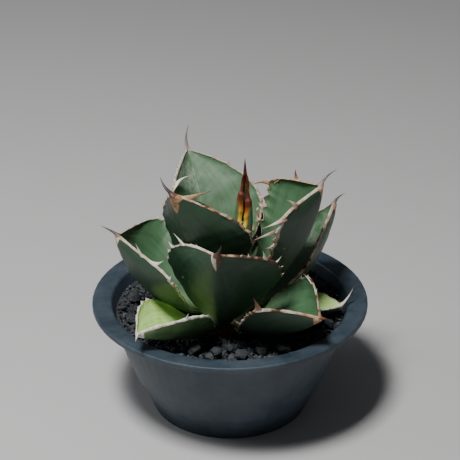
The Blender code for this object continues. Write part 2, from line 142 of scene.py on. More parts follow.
def hang_lamp(name, place, target, size, watts, color):
    """A square soft lamp aimed at a point."""
    lamp = bpy.data.lights.new(name, "AREA")
    lamp.shape = "SQUARE"
    lamp.size = size
    lamp.energy = watts
    lamp.color = color
    holder = bpy.data.objects.new(name, lamp)
    holder.location = place
    holder.rotation_euler = (Vector(target) - Vector(place)).to_track_quat("-Z", "Y").to_euler()
    bpy.context.collection.objects.link(holder)


hang_lamp("key_lamp", (-0.26, -0.36, 1.12), (0.0, 0.0, 0.08), 0.24, 18.5, (1.0, 0.985, 0.95))
hang_lamp("left_lamp", (-1.10, 0.05, 0.70), (0.0, 0.0, 0.08), 0.60, 3.2, (0.95, 0.98, 1.0))

camera_body = bpy.data.cameras.new("camera")
camera_body.lens = 120.92
camera_body.sensor_width = 36.0
camera = bpy.data.objects.new("camera", camera_body)
camera.location = (0.0, -0.78472, 0.50870)
camera.rotation_euler = (math.radians(63.132), 0.0, 0.0)
bpy.context.collection.objects.link(camera)
bpy.context.scene.camera = camera


# ---------------------------------------------------------------- pot
# A moulded plastic pot, slate grey, with a wide rim that dishes slightly inwards.  Its shape is the packed
# node's own.  Watering and potting have left dust, pale specks and fine scuffs on the rim.

def build_dust_group():
    """Dust and specks that settle on a surface.  Inputs: Cover and Speck Size in metres.  Output: Dust."""
    group = bpy.data.node_groups.new("settled_dust", "ShaderNodeTree")
    group.interface.new_socket("Cover", in_out="INPUT", socket_type="NodeSocketFloat")
    group.interface.new_socket("Speck Size", in_out="INPUT", socket_type="NodeSocketFloat")
    group.interface.new_socket("Dust", in_out="OUTPUT", socket_type="NodeSocketFloat")
    given = group.nodes.new("NodeGroupInput").outputs
    place = add_node(group, "ShaderNodeTexCoord").outputs["Object"]
    often = arithmetic(group, "DIVIDE", 1.0, given["Speck Size"])
    specks = add_node(group, "ShaderNodeTexVoronoi", {"Vector": place, "Scale": often, "Randomness": 1.0})
    spot = color_ramp(group, specks.outputs["Distance"], ((0.0, 1.0), (0.16, 0.9), (0.24, 0.0)))
    rare = color_ramp(group, specks.outputs["Color"], ((0.72, 0.0), (0.92, 1.0)))
    speck = arithmetic(group, "MULTIPLY", spot, rare)
    film = add_node(group, "ShaderNodeTexNoise", {
        "Vector": place, "Scale": 45.0, "Detail": 9.0, "Roughness": 0.68})
    film = color_ramp(group, film.outputs["Fac"], ((0.40, 0.0), (0.75, 0.6)))
    both = arithmetic(group, "ADD", speck, film)
    dust = arithmetic(group, "MULTIPLY", both, given["Cover"], clamp=True)
    result = group.nodes.new("NodeGroupOutput")
    group.links.new(dust, result.inputs["Dust"])
    return group


def settle_dust(tree, cover, speck_size):
    """Place the dust group in a material and return its mask."""
    node = tree.nodes.new("ShaderNodeGroup")
    node.node_tree = bpy.data.node_groups["settled_dust"]
    node.inputs["Cover"].default_value = cover
    node.inputs["Speck Size"].default_value = speck_size
    return node.outputs["Dust"]


SLATE = (0.0125, 0.0245, 0.038)
SLATE_WORN = (0.024, 0.042, 0.062)
SLATE_GRAZED = (0.0624, 0.1092, 0.1612)
POT_DUST = (0.13, 0.155, 0.18)

build_dust_group()
pot_finish, tree, shader, place = start_material("slate_plastic")
cloud = add_node(tree, "ShaderNodeTexNoise", {
    "Vector": place, "Scale": 26.0, "Detail": 8.0, "Roughness": 0.62})
worn = color_ramp(tree, cloud.outputs["Fac"], ((0.38, 0.0), (0.68, 1.0)))
slate = blend_colors(tree, worn, SLATE, SLATE_WORN)
dust = settle_dust(tree, 0.55, 0.0016)
grazes = add_node(tree, "ShaderNodeMapping", {
    "Vector": place, "Rotation": (0.0, 0.0, 0.6), "Scale": (30.0, 900.0, 30.0)})
grazes = add_node(tree, "ShaderNodeTexNoise", {
    "Vector": grazes.outputs["Vector"], "Scale": 1.0, "Detail": 2.0})
grazes = color_ramp(tree, grazes.outputs["Fac"], ((0.66, 0.0), (0.74, 1.0)))
patch = add_node(tree, "ShaderNodeTexNoise", {"Vector": place, "Scale": 60.0, "Detail": 3.0})
patch = color_ramp(tree, patch.outputs["Fac"], ((0.52, 0.0), (0.66, 0.55)))
grazes = arithmetic(tree, "MULTIPLY", grazes, patch)
slate = blend_colors(tree, dust, slate, POT_DUST)
slate = blend_colors(tree, grazes, slate, SLATE_GRAZED)
tree.links.new(slate, shader.inputs["Base Color"])
tree.links.new(multiply_add(tree, dust, 0.35, 0.46), shader.inputs["Roughness"])
grain = add_node(tree, "ShaderNodeTexNoise", {"Vector": place, "Scale": 1400.0, "Detail": 3.0})
height = arithmetic(tree, "ADD", arithmetic(tree, "MULTIPLY", grain.outputs["Fac"], 0.5), dust)
finish_bump(tree, shader, height, 0.00012, 0.7)

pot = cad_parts["pot"]
pot.data.materials.clear()
pot.data.materials.append(pot_finish)


# ---------------------------------------------------------------- grit
# The mix is loose black lava and charcoal, 3 to 6 mm across, heaped to just under the rim and lowest round
# the stem.  It is a bumpy bed with chips strewn over it, each chip an angular broken grain.

MIX_DIP = 0.0045                # how far the bed falls from the wall to the plant
DIP_RADIUS = 0.040
BED_ROUND = 220                 # steps round the bed and from its middle to its edge
BED_ACROSS = 56
BED_ROUGHNESS = 0.0011
BED_SHADE = 0.22                # how pale the fine grit between the chips is, where 1 is palest
BED_GAP = 0.0001                # kept clear of the pot's wall
CHIP_LIFT = 0.0012              # the bed lies this far below the middle of the chips
BED_WALL = ((0.66, 0.93), (0.42, 0.85), (0.18, 0.74), (0.0, 0.63))  # shares of its depth and its radius
CHIP_KINDS = (                  # name, how many, and the mean radius of the smallest and the largest
    ("coarse", 1100, 0.0014, 0.0027),
    ("fine", 2300, 0.0008, 0.0016),
)
GRIT_DARK = (0.008, 0.0095, 0.012)
GRIT_PALE = (0.072, 0.088, 0.106)
GRIT_DUST = (0.13, 0.135, 0.145)

mix_low, mix_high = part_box("potting_mix")
bed_radius = (mix_high.x - mix_low.x) / 2 - BED_GAP


def smooth(value):
    """0 below 0, 1 above 1, and an even S between them."""
    value = np.clip(value, 0.0, 1.0)
    return value * value * (3.0 - 2.0 * value)


def bed_height(radius):
    """Height of the smoothed bed at a distance from the pot's axis."""
    return mix_high.z - MIX_DIP * (1.0 - smooth((radius - DIP_RADIUS) / (bed_radius - DIP_RADIUS)))


def wavy(points, seed, waves=14, longest=1.0):
    """Smooth random heights in about -1 to 1 at points, in lengths of the longest wave."""
    dice = np.random.default_rng(seed)
    total = np.zeros(points.shape[:-1])
    for k in range(waves):
        way = dice.normal(size=points.shape[-1])
        way /= np.linalg.norm(way)
        pitch = math.tau / longest * 1.22 ** (k % 7) * dice.uniform(0.8, 1.2)
        total += np.sin(points @ way * pitch + dice.uniform(0.0, math.tau)) / 1.12 ** (k % 7)
    return total / math.sqrt(waves)


def put_together(name, points, faces, materials, numbers=None, smooth_faces=True):
    """Make a mesh object from points and faces; numbers are named values carried by the points."""
    mesh = bpy.data.meshes.new(name)
    mesh.from_pydata([tuple(p) for p in points], [], faces)
    mesh.polygons.foreach_set("use_smooth", [smooth_faces] * len(mesh.polygons))
    for label, values in (numbers or {}).items():
        carried = mesh.attributes.new(label, "FLOAT", "POINT")
        carried.data.foreach_set("value", np.asarray(values, np.float32))
    obj = bpy.data.objects.new(name, mesh)
    bpy.context.collection.objects.link(obj)
    for finish in materials:
        mesh.materials.append(finish)
    return obj


grit_finish, tree, shader, place = start_material("lava_grit")
shade = add_node(tree, "ShaderNodeAttribute", attribute_name="shade").outputs["Fac"]
pores = add_node(tree, "ShaderNodeTexNoise", {
    "Vector": place, "Scale": 900.0, "Detail": 6.0, "Roughness": 0.7})
tone = arithmetic(tree, "MULTIPLY", shade, pores.outputs["Fac"])
tone = color_ramp(tree, tone, ((0.08, GRIT_DARK), (0.62, GRIT_PALE)))
dust = settle_dust(tree, 0.35, 0.0011)
tone = blend_colors(tree, dust, tone, GRIT_DUST)
tree.links.new(tone, shader.inputs["Base Color"])
rough = color_ramp(tree, pores.outputs["Fac"], ((0.3, 0.55), (0.7, 0.95)))
tree.links.new(rough, shader.inputs["Roughness"])
finish_bump(tree, shader, pores.outputs["Fac"], 0.0005, 0.8)

turns = np.linspace(0.0, math.tau, BED_ROUND, endpoint=False)
steps = np.linspace(0.0, 1.0, BED_ACROSS + 1)[1:]
ring_x = bed_radius * steps[:, None] * np.cos(turns)
ring_y = bed_radius * steps[:, None] * np.sin(turns)
flat = np.stack([ring_x, ring_y], -1)
lumps = BED_ROUGHNESS * wavy(flat, 3, 28, 0.012) - CHIP_LIFT
lumps[-1] = -CHIP_LIFT
top = np.concatenate([flat, (bed_height(bed_radius * steps)[:, None] + lumps)[..., None]], -1).reshape(-1, 3)
points = [*top, (0.0, 0.0, float(bed_height(0.0)) - CHIP_LIFT), (0.0, 0.0, mix_low.z)]
crown, foot = len(points) - 2, len(points) - 1
faces = []
for i in range(BED_ROUND):
    j = (i + 1) % BED_ROUND
    faces.append((i, j, crown))
    for k in range(BED_ACROSS - 1):
        faces.append((k * BED_ROUND + i, (k + 1) * BED_ROUND + i, (k + 1) * BED_ROUND + j, k * BED_ROUND + j))
edge = (BED_ACROSS - 1) * BED_ROUND
for share, narrow in BED_WALL:
    z = mix_low.z + (mix_high.z - mix_low.z) * share
    ring = len(points)
    points += [(bed_radius * narrow * math.cos(t), bed_radius * narrow * math.sin(t), z) for t in turns]
    for i in range(BED_ROUND):
        j = (i + 1) % BED_ROUND
        faces.append((edge + i, ring + i, ring + j, edge + j))
    edge = ring
for i in range(BED_ROUND):
    faces.append((edge + i, foot, edge + (i + 1) % BED_ROUND))
bed = put_together("grit_bed", points, faces, [grit_finish], {"shade": [BED_SHADE] * len(points)})


def broken_stone(detail, dice, cuts=11, stretch=(1.0, 1.0, 1.0)):
    """Points and faces of an angular stone of about unit radius: a ball with flats broken off it."""
    ball = bmesh.new()
    bmesh.ops.create_icosphere(ball, subdivisions=detail, radius=1.0)
    points = np.array([v.co for v in ball.verts])
    faces = [tuple(v.index for v in f.verts) for f in ball.faces]
    ball.free()
    for _ in range(cuts):
        way = dice.normal(size=3)
        way /= np.linalg.norm(way)
        over = points @ way - dice.uniform(0.52, 0.86)
        points = points - np.outer(np.maximum(over, 0.0), way)
    return points * np.array(stretch), faces


def spin_about(dice):
    """A random turn as a 3 by 3 array."""
    turn, _ = np.linalg.qr(dice.normal(size=(3, 3)))
    return turn * np.sign(np.linalg.det(turn))


dice = np.random.default_rng(11)
chip_shapes = [broken_stone(2, dice, 9, (1.0, dice.uniform(0.6, 0.95), dice.uniform(0.5, 0.85)))
               for _ in range(14)]
chip_shapes += [broken_stone(2, dice, 9, (1.7, 0.55, 0.42)) for _ in range(4)]
obstacles = []
for name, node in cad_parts.items():
    if name.startswith(("leaf_", "stem", "stone_")):
        corners = [v.co.copy() for v in node.data.vertices]
        obstacles.append(BVHTree.FromPolygons(corners, [tuple(f.vertices) for f in node.data.polygons]))
grit = [bed]
for kind, number, smallest, largest in CHIP_KINDS:
    chip_points, chip_faces, chip_shades = [], [], []
    first = 0
    while len(chip_points) < number:
        reach = (bed_radius - 0.001) * math.sqrt(dice.uniform())
        turn = dice.uniform(0.0, math.tau)
        size = smallest + (largest - smallest) * dice.uniform() ** 1.5
        level = float(bed_height(reach)) + dice.uniform(-0.0010, 0.0012)
        middle = Vector((reach * math.cos(turn), reach * math.sin(turn), level))
        near = min(thing.find_nearest(middle)[3] for thing in obstacles)
        if near < size * 1.25 or reach + size * 1.2 > bed_radius:
            continue
        shape, shape_faces = chip_shapes[dice.integers(len(chip_shapes))]
        placed = shape * size @ spin_about(dice).T * np.array((1.0, 1.0, 0.85)) + np.array(middle)
        chip_points.append(placed)
        chip_faces += [tuple(first + i for i in face) for face in shape_faces]
        chip_shades += [0.25 + 0.75 * dice.uniform() ** 1.3] * len(placed)
        first += len(placed)
    grit.append(put_together("grit_" + kind, np.concatenate(chip_points), chip_faces, [grit_finish],
                             {"shade": chip_shades}, smooth_faces=False))
for piece in grit:
    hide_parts("potting_mix")
    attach(piece, "root")


# ---------------------------------------------------------------- larger stones
# Loose lumps of lava lie on the grit, mostly at the front and the left.  Each is broken rock with a pitted
# skin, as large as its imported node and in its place.

STONE_COUNT = 18
STONE_WAVE = 0.035              # how far the rock swells and sinks, as a share of its radius
STONE_CREASE = math.radians(28)
STONE_DARK = (0.007, 0.008, 0.010)
STONE_PALE = (0.034, 0.041, 0.050)
STONE_DUST = (0.085, 0.098, 0.112)

stone_finish, tree, shader, place = start_material("lava_stone")
pits = add_node(tree, "ShaderNodeTexVoronoi", {"Vector": place, "Scale": 700.0, "Randomness": 1.0})
pits = color_ramp(tree, pits.outputs["Distance"], ((0.05, 0.0), (0.45, 1.0)))
rock = add_node(tree, "ShaderNodeTexNoise", {
    "Vector": place, "Scale": 240.0, "Detail": 8.0, "Roughness": 0.66})
pitted = arithmetic(tree, "MULTIPLY", pits, rock.outputs["Fac"])
tone = color_ramp(tree, pitted, ((0.10, STONE_DARK), (0.70, STONE_PALE)))
tone = blend_colors(tree, settle_dust(tree, 0.20, 0.0013), tone, STONE_DUST)
tree.links.new(tone, shader.inputs["Base Color"])
shader.inputs["Roughness"].default_value = 0.86
finish_bump(tree, shader, pitted, 0.0008, 0.8)

dice = np.random.default_rng(23)
for number in range(1, STONE_COUNT + 1):
    node = "stone_%02d" % number
    low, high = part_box(node)
    points, faces = broken_stone(4, dice, 15)
    points = points @ spin_about(dice).T
    points += STONE_WAVE * wavy(points, number, 20, 1.1)[:, None] * points
    span = points.max(0) - points.min(0)
    points = (points - points.min(0)) / span * np.array(high - low) + np.array(low)
    stone = put_together("lava_" + node, points, faces, [stone_finish])
    stone.data.set_sharp_from_angle(angle=STONE_CREASE)
    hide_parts(node)
    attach(stone, "root")


# ---------------------------------------------------------------- stem
# A short woody stock, ringed by the scars and dry fibres of leaves that have died away.

STEM_RADIUS = 0.0110            # at the top of the grit
STEM_TOP_RADIUS = 0.0080
STEM_ABOVE = 0.0300             # how far it stands out of the grit
STEM_PROFILE = (                # share of its height, and its radius there
    (0.0, 0.0040),
    (0.28, 0.0103),
    (0.46, STEM_RADIUS),
    (0.58, STEM_RADIUS),
    (1.0, STEM_TOP_RADIUS),
)
SCAR_HEIGHT = 0.0005            # the rings that dead leaves leave
BARK_INSET = 0.0006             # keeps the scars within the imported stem
STEM_ROWS = 70
STEM_ROUND = 96
BARK_DARK = (0.050, 0.032, 0.018)
BARK_PALE = (0.24, 0.18, 0.11)

stem_low, stem_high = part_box("stem")
stem_x, stem_y = (stem_low.x + stem_high.x) / 2, (stem_low.y + stem_high.y) / 2
ground = stem_high.z - STEM_ABOVE
bark_finish, tree, shader, place = start_material("dry_bark")
fibres = add_node(tree, "ShaderNodeMapping", {"Vector": place, "Scale": (900.0, 900.0, 90.0)})
fibres = add_node(tree, "ShaderNodeTexNoise", {
    "Vector": fibres.outputs["Vector"], "Scale": 1.0, "Detail": 6.0})
tone = color_ramp(tree, fibres.outputs["Fac"], ((0.3, BARK_DARK), (0.7, BARK_PALE)))
tree.links.new(tone, shader.inputs["Base Color"])
shader.inputs["Roughness"].default_value = 0.88
finish_bump(tree, shader, fibres.outputs["Fac"], 0.0006)

share = np.linspace(0.0, 1.0, STEM_ROWS + 1)
radius = np.interp(share, *zip(*STEM_PROFILE)) - BARK_INSET
turns = np.linspace(0.0, math.tau, STEM_ROUND, endpoint=False)
scars = SCAR_HEIGHT * np.abs(np.sin(share[:, None] * 26.0 + 2.0 * np.sin(turns * 3.0 + share[:, None] * 9.0)))
reach = radius[:, None] + scars
z = stem_low.z + (stem_high.z - stem_low.z) * share
z = np.repeat(z[:, None], STEM_ROUND, 1)
grid = np.stack([stem_x + reach * np.cos(turns), stem_y + reach * np.sin(turns), z], -1)
points = [*grid.reshape(-1, 3), (stem_x, stem_y, stem_low.z), (stem_x, stem_y, stem_high.z)]
faces = []
for i in range(STEM_ROUND):
    j = (i + 1) % STEM_ROUND
    faces += [(k * STEM_ROUND + i, k * STEM_ROUND + j, (k + 1) * STEM_ROUND + j, (k + 1) * STEM_ROUND + i)
              for k in range(STEM_ROWS)]
    faces.append((j, i, len(points) - 2))
    faces.append((STEM_ROWS * STEM_ROUND + i, STEM_ROWS * STEM_ROUND + j, len(points) - 1))
stock = put_together("stock", points, faces, [bark_finish])
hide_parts("stem")
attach(stock, "root")


# ---------------------------------------------------------------- leaf finishes
# The leaves are thick and waxy: grey-green with a powdery bloom, their backs painted darker as painted shade,
# with a corky margin that the teeth grow from.  The two oldest leaves are yellow-green, with their upper
# faces painted much paler as painted light from above and their backs painted dark as painted shade.  Teeth
# and end spines are hard horn.

HORN_TAN = (0.40, 0.215, 0.095)
PALE_SCAR = (0.30, 0.38, 0.30)
SKIN_VALUES = ("along", "across", "from_edge", "inner", "horn", "band", "bleach", "worn")


def build_skin_group():
    """Leaf skin from the values that the leaf's points carry.

    along and across run over the blade, from_edge is in millimetres, inner is 1 on the upper face and 0 on
    the back, horn is 1 where the tip has turned to horn, band is the width of the corky margin in
    millimetres, bleach is how far horn and cork have paled, and worn is how far the face is scarred.
    """
    group = bpy.data.node_groups.new("leaf_skin", "ShaderNodeTree")
    for label in ("Face Color", "Shaded Back Color", "Bloom Color", "Cork Color", "Horn Color", "Root Color"):
        group.interface.new_socket(label, in_out="INPUT", socket_type="NodeSocketColor")
    group.interface.new_socket("Bloom", in_out="INPUT", socket_type="NodeSocketFloat")
    group.interface.new_socket("Color", in_out="OUTPUT", socket_type="NodeSocketColor")
    group.interface.new_socket("Roughness", in_out="OUTPUT", socket_type="NodeSocketFloat")
    group.interface.new_socket("Height", in_out="OUTPUT", socket_type="NodeSocketFloat")
    given = group.nodes.new("NodeGroupInput").outputs
    place = add_node(group, "ShaderNodeTexCoord").outputs["Object"]
    along, across, from_edge, inner, horn, band, bleach, worn = (
        add_node(group, "ShaderNodeAttribute", attribute_name=label).outputs["Fac"]
        for label in SKIN_VALUES)

    broad = add_node(group, "ShaderNodeTexNoise", {
        "Vector": place, "Scale": 42.0, "Detail": 5.0, "Roughness": 0.6}).outputs["Fac"]
    fine = add_node(group, "ShaderNodeTexNoise", {
        "Vector": place, "Scale": 420.0, "Detail": 6.0, "Roughness": 0.65}).outputs["Fac"]
    blotch = add_node(group, "ShaderNodeTexNoise", {
        "Vector": place, "Scale": 150.0, "Detail": 4.0, "Roughness": 0.6}).outputs["Fac"]
    lengthwise = add_node(group, "ShaderNodeCombineXYZ", {
        "X": arithmetic(group, "MULTIPLY", across, 15.0),
        "Y": arithmetic(group, "MULTIPLY", along, 2.2),
        "Z": arithmetic(group, "MULTIPLY", inner, 7.0)})
    streaks = add_node(group, "ShaderNodeTexNoise", {
        "Vector": lengthwise.outputs["Vector"], "Scale": 1.0, "Detail": 5.0, "Roughness": 0.6}).outputs["Fac"]

    # The back colour is darker than the face colour: painted shade on the underside of the leaf.
    green = blend_colors(group, inner, given["Shaded Back Color"], given["Face Color"])
    shading = color_ramp(group, streaks, ((0.30, 0.62), (0.50, 0.92), (0.72, 1.12)))
    green = blend_colors(group, 1.0, green, shading, "MULTIPLY")
    bloom = arithmetic(group, "MULTIPLY", color_ramp(group, broad, ((0.36, 0.0), (0.66, 1.0))),
                       color_ramp(group, fine, ((0.30, 0.45), (0.62, 1.0))))
    bloom = arithmetic(group, "MULTIPLY", bloom, given["Bloom"], clamp=True)
    bloom = arithmetic(group, "MULTIPLY", bloom, multiply_add(group, inner, 0.65, 0.35))
    green = blend_colors(group, bloom, green, given["Bloom Color"])
    pale_root = color_ramp(group, along, ((0.02, 1.0), (0.24, 0.0)))
    pale_root = arithmetic(group, "MULTIPLY", pale_root, inner)
    green = blend_colors(group, pale_root, green, given["Root Color"])

    scars = add_node(group, "ShaderNodeTexVoronoi", {"Vector": place, "Scale": 230.0, "Randomness": 1.0})
    spot = color_ramp(group, scars.outputs["Distance"], ((0.10, 1.0), (0.20, 0.0)))
    rare = color_ramp(group, scars.outputs["Color"], ((0.90, 0.0), (0.93, 0.8)))
    scar = arithmetic(group, "MULTIPLY", spot, rare)
    green = blend_colors(group, scar, green, given["Cork Color"])
    mottled = arithmetic(group, "MULTIPLY", color_ramp(group, broad, ((0.38, 0.0), (0.56, 1.0))),
                         color_ramp(group, fine, ((0.34, 0.25), (0.58, 1.0))))
    mottled = arithmetic(group, "MULTIPLY", mottled, worn, clamp=True)
    green = blend_colors(group, mottled, green, PALE_SCAR)

    uneven = arithmetic(group, "MULTIPLY", color_ramp(group, broad, ((0.34, 0.30), (0.66, 1.0))), band)
    margin = arithmetic(group, "MULTIPLY", uneven, 1.5)
    ragged = arithmetic(group, "ADD", from_edge, multiply_add(group, fine, 0.8, -0.4))
    depth = arithmetic(group, "SUBTRACT", ragged, margin)
    cork = color_ramp(group, multiply_add(group, depth, 1.6, 0.5), ((0.40, 1.0), (0.60, 0.0)))
    cork = arithmetic(group, "MULTIPLY", cork, color_ramp(group, band, ((0.02, 0.0), (0.16, 1.0))))
    stain = color_ramp(group, multiply_add(group, depth, 0.9, 0.2), ((0.40, 1.0), (0.95, 0.0)))
    near_tip = color_ramp(group, along, ((0.66, 0.10), (0.97, 0.9)))
    green = blend_colors(group, arithmetic(group, "MULTIPLY", stain, near_tip), green, given["Horn Color"])
    cork_tone = color_ramp(group, fine, ((0.32, 0.50), (0.56, 1.0)))
    cork_color = blend_colors(group, 1.0, given["Cork Color"], cork_tone, "MULTIPLY")
    rust = multiply_add(group, bleach, -0.26, arithmetic(group, "ADD", blotch, 0.13))
    tanned = color_ramp(group, rust, ((0.46, 0.0), (0.54, 0.90)))
    cork_color = blend_colors(group, tanned, cork_color, HORN_TAN)
    browned = color_ramp(group, rust, ((0.56, 0.0), (0.62, 1.0)))
    cork_color = blend_colors(group, browned, cork_color, given["Horn Color"])
    skin = blend_colors(group, cork, green, cork_color)

    horny = arithmetic(group, "ADD", horn, multiply_add(group, fine, 0.5, -0.25))
    horny = arithmetic(group, "ADD", horny, multiply_add(group, blotch, 0.9, -0.45))
    horny = color_ramp(group, horny, ((0.44, 0.0), (0.54, 1.0)))
    paling = arithmetic(group, "ADD", bleach, multiply_add(group, fine, 1.1, -0.55))
    tanned = color_ramp(group, paling, ((0.15, 0.0), (0.45, 1.0)))
    horn_color = blend_colors(group, tanned, given["Horn Color"], HORN_TAN)
    bleached = color_ramp(group, paling, ((0.55, 0.0), (0.80, 1.0)))
    horn_color = blend_colors(group, bleached, horn_color, given["Cork Color"])
    skin = blend_colors(group, horny, skin, horn_color)

    rough = arithmetic(group, "MAXIMUM", cork, arithmetic(group, "MULTIPLY", bloom, 0.5))
    rough = multiply_add(group, rough, 0.30, 0.50)
    height = arithmetic(group, "MULTIPLY", fine, multiply_add(group, cork, 0.8, 0.2))
    height = arithmetic(group, "ADD", height, arithmetic(group, "MULTIPLY", streaks, 0.8))
    result = group.nodes.new("NodeGroupOutput")
    group.links.new(skin, result.inputs["Color"])
    group.links.new(rough, result.inputs["Roughness"])
    group.links.new(height, result.inputs["Height"])


def skin_material(name, face, back, bloom_color, cork, horn, root, bloom):
    """A leaf skin with its own colours, its back painted darker than its face as painted shade; bloom is how
    thickly the wax lies on it.
    """
    made, tree, shader, _ = start_material(name)
    node = tree.nodes.new("ShaderNodeGroup")
    node.node_tree = bpy.data.node_groups["leaf_skin"]
    colors = (("Face Color", face), ("Shaded Back Color", back), ("Bloom Color", bloom_color), ("Cork Color", cork),
              ("Horn Color", horn), ("Root Color", root))
    for label, color in colors:
        node.inputs[label].default_value = (*color, 1.0)
    node.inputs["Bloom"].default_value = bloom
    tree.links.new(node.outputs["Color"], shader.inputs["Base Color"])
    tree.links.new(node.outputs["Roughness"], shader.inputs["Roughness"])
    finish_bump(tree, shader, node.outputs["Height"], 0.00035, 0.7)
    return made


def horn_material(name, base, middle, tip):
    """Teeth and end spines: fibrous horn that changes colour from its base to its point."""
    made, tree, shader, place = start_material(name)
    reach = add_node(tree, "ShaderNodeAttribute", attribute_name="to_point").outputs["Fac"]
    cloud = add_node(tree, "ShaderNodeTexNoise", {"Vector": place, "Scale": 500.0, "Detail": 5.0})
    uneven = arithmetic(tree, "MULTIPLY", arithmetic(tree, "SUBTRACT", cloud.outputs["Fac"], 0.5), 0.7)
    reach = arithmetic(tree, "ADD", reach, uneven)
    tone = color_ramp(tree, reach, ((0.10, base), (0.50, middle), (0.92, tip)))
    tree.links.new(tone, shader.inputs["Base Color"])
    shader.inputs["Roughness"].default_value = 0.50
    finish_bump(tree, shader, cloud.outputs["Fac"], 0.0003, 0.6)
    return made


build_skin_group()
# Each skin's back colour is darker than its face colour: painted shade on the underside of the leaf.
skins = {
    "grey_green": skin_material(
        "waxy_grey_green", face=(0.056, 0.140, 0.062), back=(0.015, 0.048, 0.022),
        bloom_color=(0.105, 0.190, 0.110), cork=(0.56, 0.50, 0.42), horn=(0.075, 0.032, 0.020),
        root=(0.24, 0.36, 0.17), bloom=0.34),
    # The two oldest leaves' skin: yellow-green, with its face, bloom, root and margins painted much paler
    # than the grey-green skin as painted light from above, and its back painted dark as painted shade.
    "faded": skin_material(
        "waxy_yellow_green", face=(0.50, 0.80, 0.22), back=(0.045, 0.125, 0.036),
        bloom_color=(0.62, 0.85, 0.36), cork=(0.72, 0.70, 0.62), horn=(0.22, 0.14, 0.09),
        root=(0.56, 0.64, 0.40), bloom=0.60),
}
HORN_TONES = {                  # at the base, in the middle and at the point
    "bleached": ((0.70, 0.64, 0.56), (0.74, 0.70, 0.63), (0.46, 0.38, 0.30)),
    "stained": ((0.30, 0.125, 0.080), (0.66, 0.57, 0.50), (0.36, 0.22, 0.15)),
    "cream": ((0.44, 0.32, 0.19), (0.38, 0.25, 0.13), (0.090, 0.048, 0.028)),
    "brown": ((0.46, 0.34, 0.24), (0.210, 0.086, 0.042), (0.045, 0.030, 0.024)),
    "dark": ((0.110, 0.050, 0.030), (0.034, 0.020, 0.016), (0.018, 0.014, 0.013)),
    "grey": ((0.40, 0.30, 0.25), (0.19, 0.15, 0.145), (0.080, 0.064, 0.060)),
    "ruddy": ((0.16, 0.036, 0.018), (0.080, 0.024, 0.015), (0.045, 0.022, 0.017)),
}
horns = {kind: horn_material(kind + "_horn", *tones) for kind, tones in HORN_TONES.items()}


# ---------------------------------------------------------------- leaves
# Twelve leaves leave the stem in a spiral.  Each is a trough with a keel down its back, thick in the middle
# and thin at the margin, and it grows its own teeth and end spine, so it is one piece with them.

KEEL_AT_ROOT = 0.0052           # thickness down the middle of a leaf
KEEL_AT_TIP = 0.0026
MARGIN_THICKNESS = 0.0011
SPINE_RADIUS = 0.0014           # at the end spine's base
ROOT_FOLD = 0.30                # share of its fold that a leaf has at its root
FOLD_REACH = 0.30               # share of its length over which it takes the rest
FLESH_SWELL = 0.00016           # unevenness of the flesh
RIM_WIDTH = 0.0007              # the low welt just inside the margin
NOTCH_LIMIT = 0.11              # deepest notch between two teeth, as a share of the half width
JAG = 0.30                      # small steps in the margin, in millimetres
JAG_PITCH = 6.0
TOOTH_THICKNESS = 0.00062       # half of it, at the base
LONG_TOOTH = 5                  # a tooth of this many millimetres or more has the deeper root
TOOTH_ROOTS = (0.0009, 0.0016)  # how far a short and a long tooth reach back into the leaf
ROOT_CLEARANCE = 0.0018         # between a leaf's first row and the stem
LEAF_ROWS = 130
HALF_COLUMNS = 21
BEAD_POINTS = 4
SPINE_ROWS = 26
TOOTH_ROWS = 14
TOOTH_HORNS = tuple(HORN_TONES)
TOOTH_SIDES = 12
MM = 0.001


def midrib(leaf):
    """Points down the middle of the leaf, and the directions along, to the left and out of its upper face."""
    share = np.linspace(0.0, 1.0, LEAF_ROWS + 1)
    slope = np.radians(leaf["rise"][0] + (leaf["rise"][1] - leaf["rise"][0]) * share)
    turn = np.radians(leaf["azimuth"] + leaf["swing"] * share)
    twist = np.radians(leaf["twist"] * share)[:, None]
    along = np.stack([np.cos(slope) * np.cos(turn), np.cos(slope) * np.sin(turn), np.sin(slope)], -1)
    level = np.stack([-np.sin(turn), np.cos(turn), 0.0 * turn], -1)
    face = np.cross(along, level)
    left = level * np.cos(twist) + face * np.sin(twist)
    upper = face * np.cos(twist) - level * np.sin(twist)
    height = leaf["height"] * MM
    stem_here = STEM_RADIUS + (STEM_TOP_RADIUS - STEM_RADIUS) * min(height / STEM_ABOVE, 1.0)
    reach = leaf.get("root_radius", stem_here + ROOT_CLEARANCE)
    azimuth = math.radians(leaf["azimuth"])
    from_axis = (reach * math.cos(azimuth), reach * math.sin(azimuth), height)
    start = np.array((stem_x, stem_y, ground)) + from_axis
    step = (along[1:] + along[:-1]) / 2 * (leaf["length"] * MM / LEAF_ROWS)
    point = start + np.concatenate([np.zeros((1, 3)), np.cumsum(step, 0)])
    lean = np.array((*leaf.get("lean", (0.0, 0.0)), 0.0))
    return share, point + lean * (share * (2.0 - share))[:, None], along, left, upper


def half_width(leaf, share):
    """Half the width of the blade along its face."""
    root, widest = leaf["root"] * MM, leaf["half"] * MM
    rising = root + (widest - root) * np.sin(0.5 * math.pi * np.minimum(share / leaf["widest"], 1.0)) ** 1.2
    beyond = np.clip((share - leaf["widest"]) / (1.0 - leaf["widest"]), 0.0, 1.0)
    falling = SPINE_RADIUS + (widest - SPINE_RADIUS) * (1.0 - beyond ** leaf["point"])
    return np.where(share < leaf["widest"], rising, falling)


def swell_at_teeth(leaf, share, side):
    """1 where a tooth stands on the margin and 0 between teeth."""
    swell = np.zeros_like(share)
    for tooth in leaf[side]:
        spread = (1.3 + 0.28 * tooth[1]) / leaf["length"]
        swell = np.maximum(swell, np.exp(-((share - tooth[0]) / spread) ** 2))
    return swell


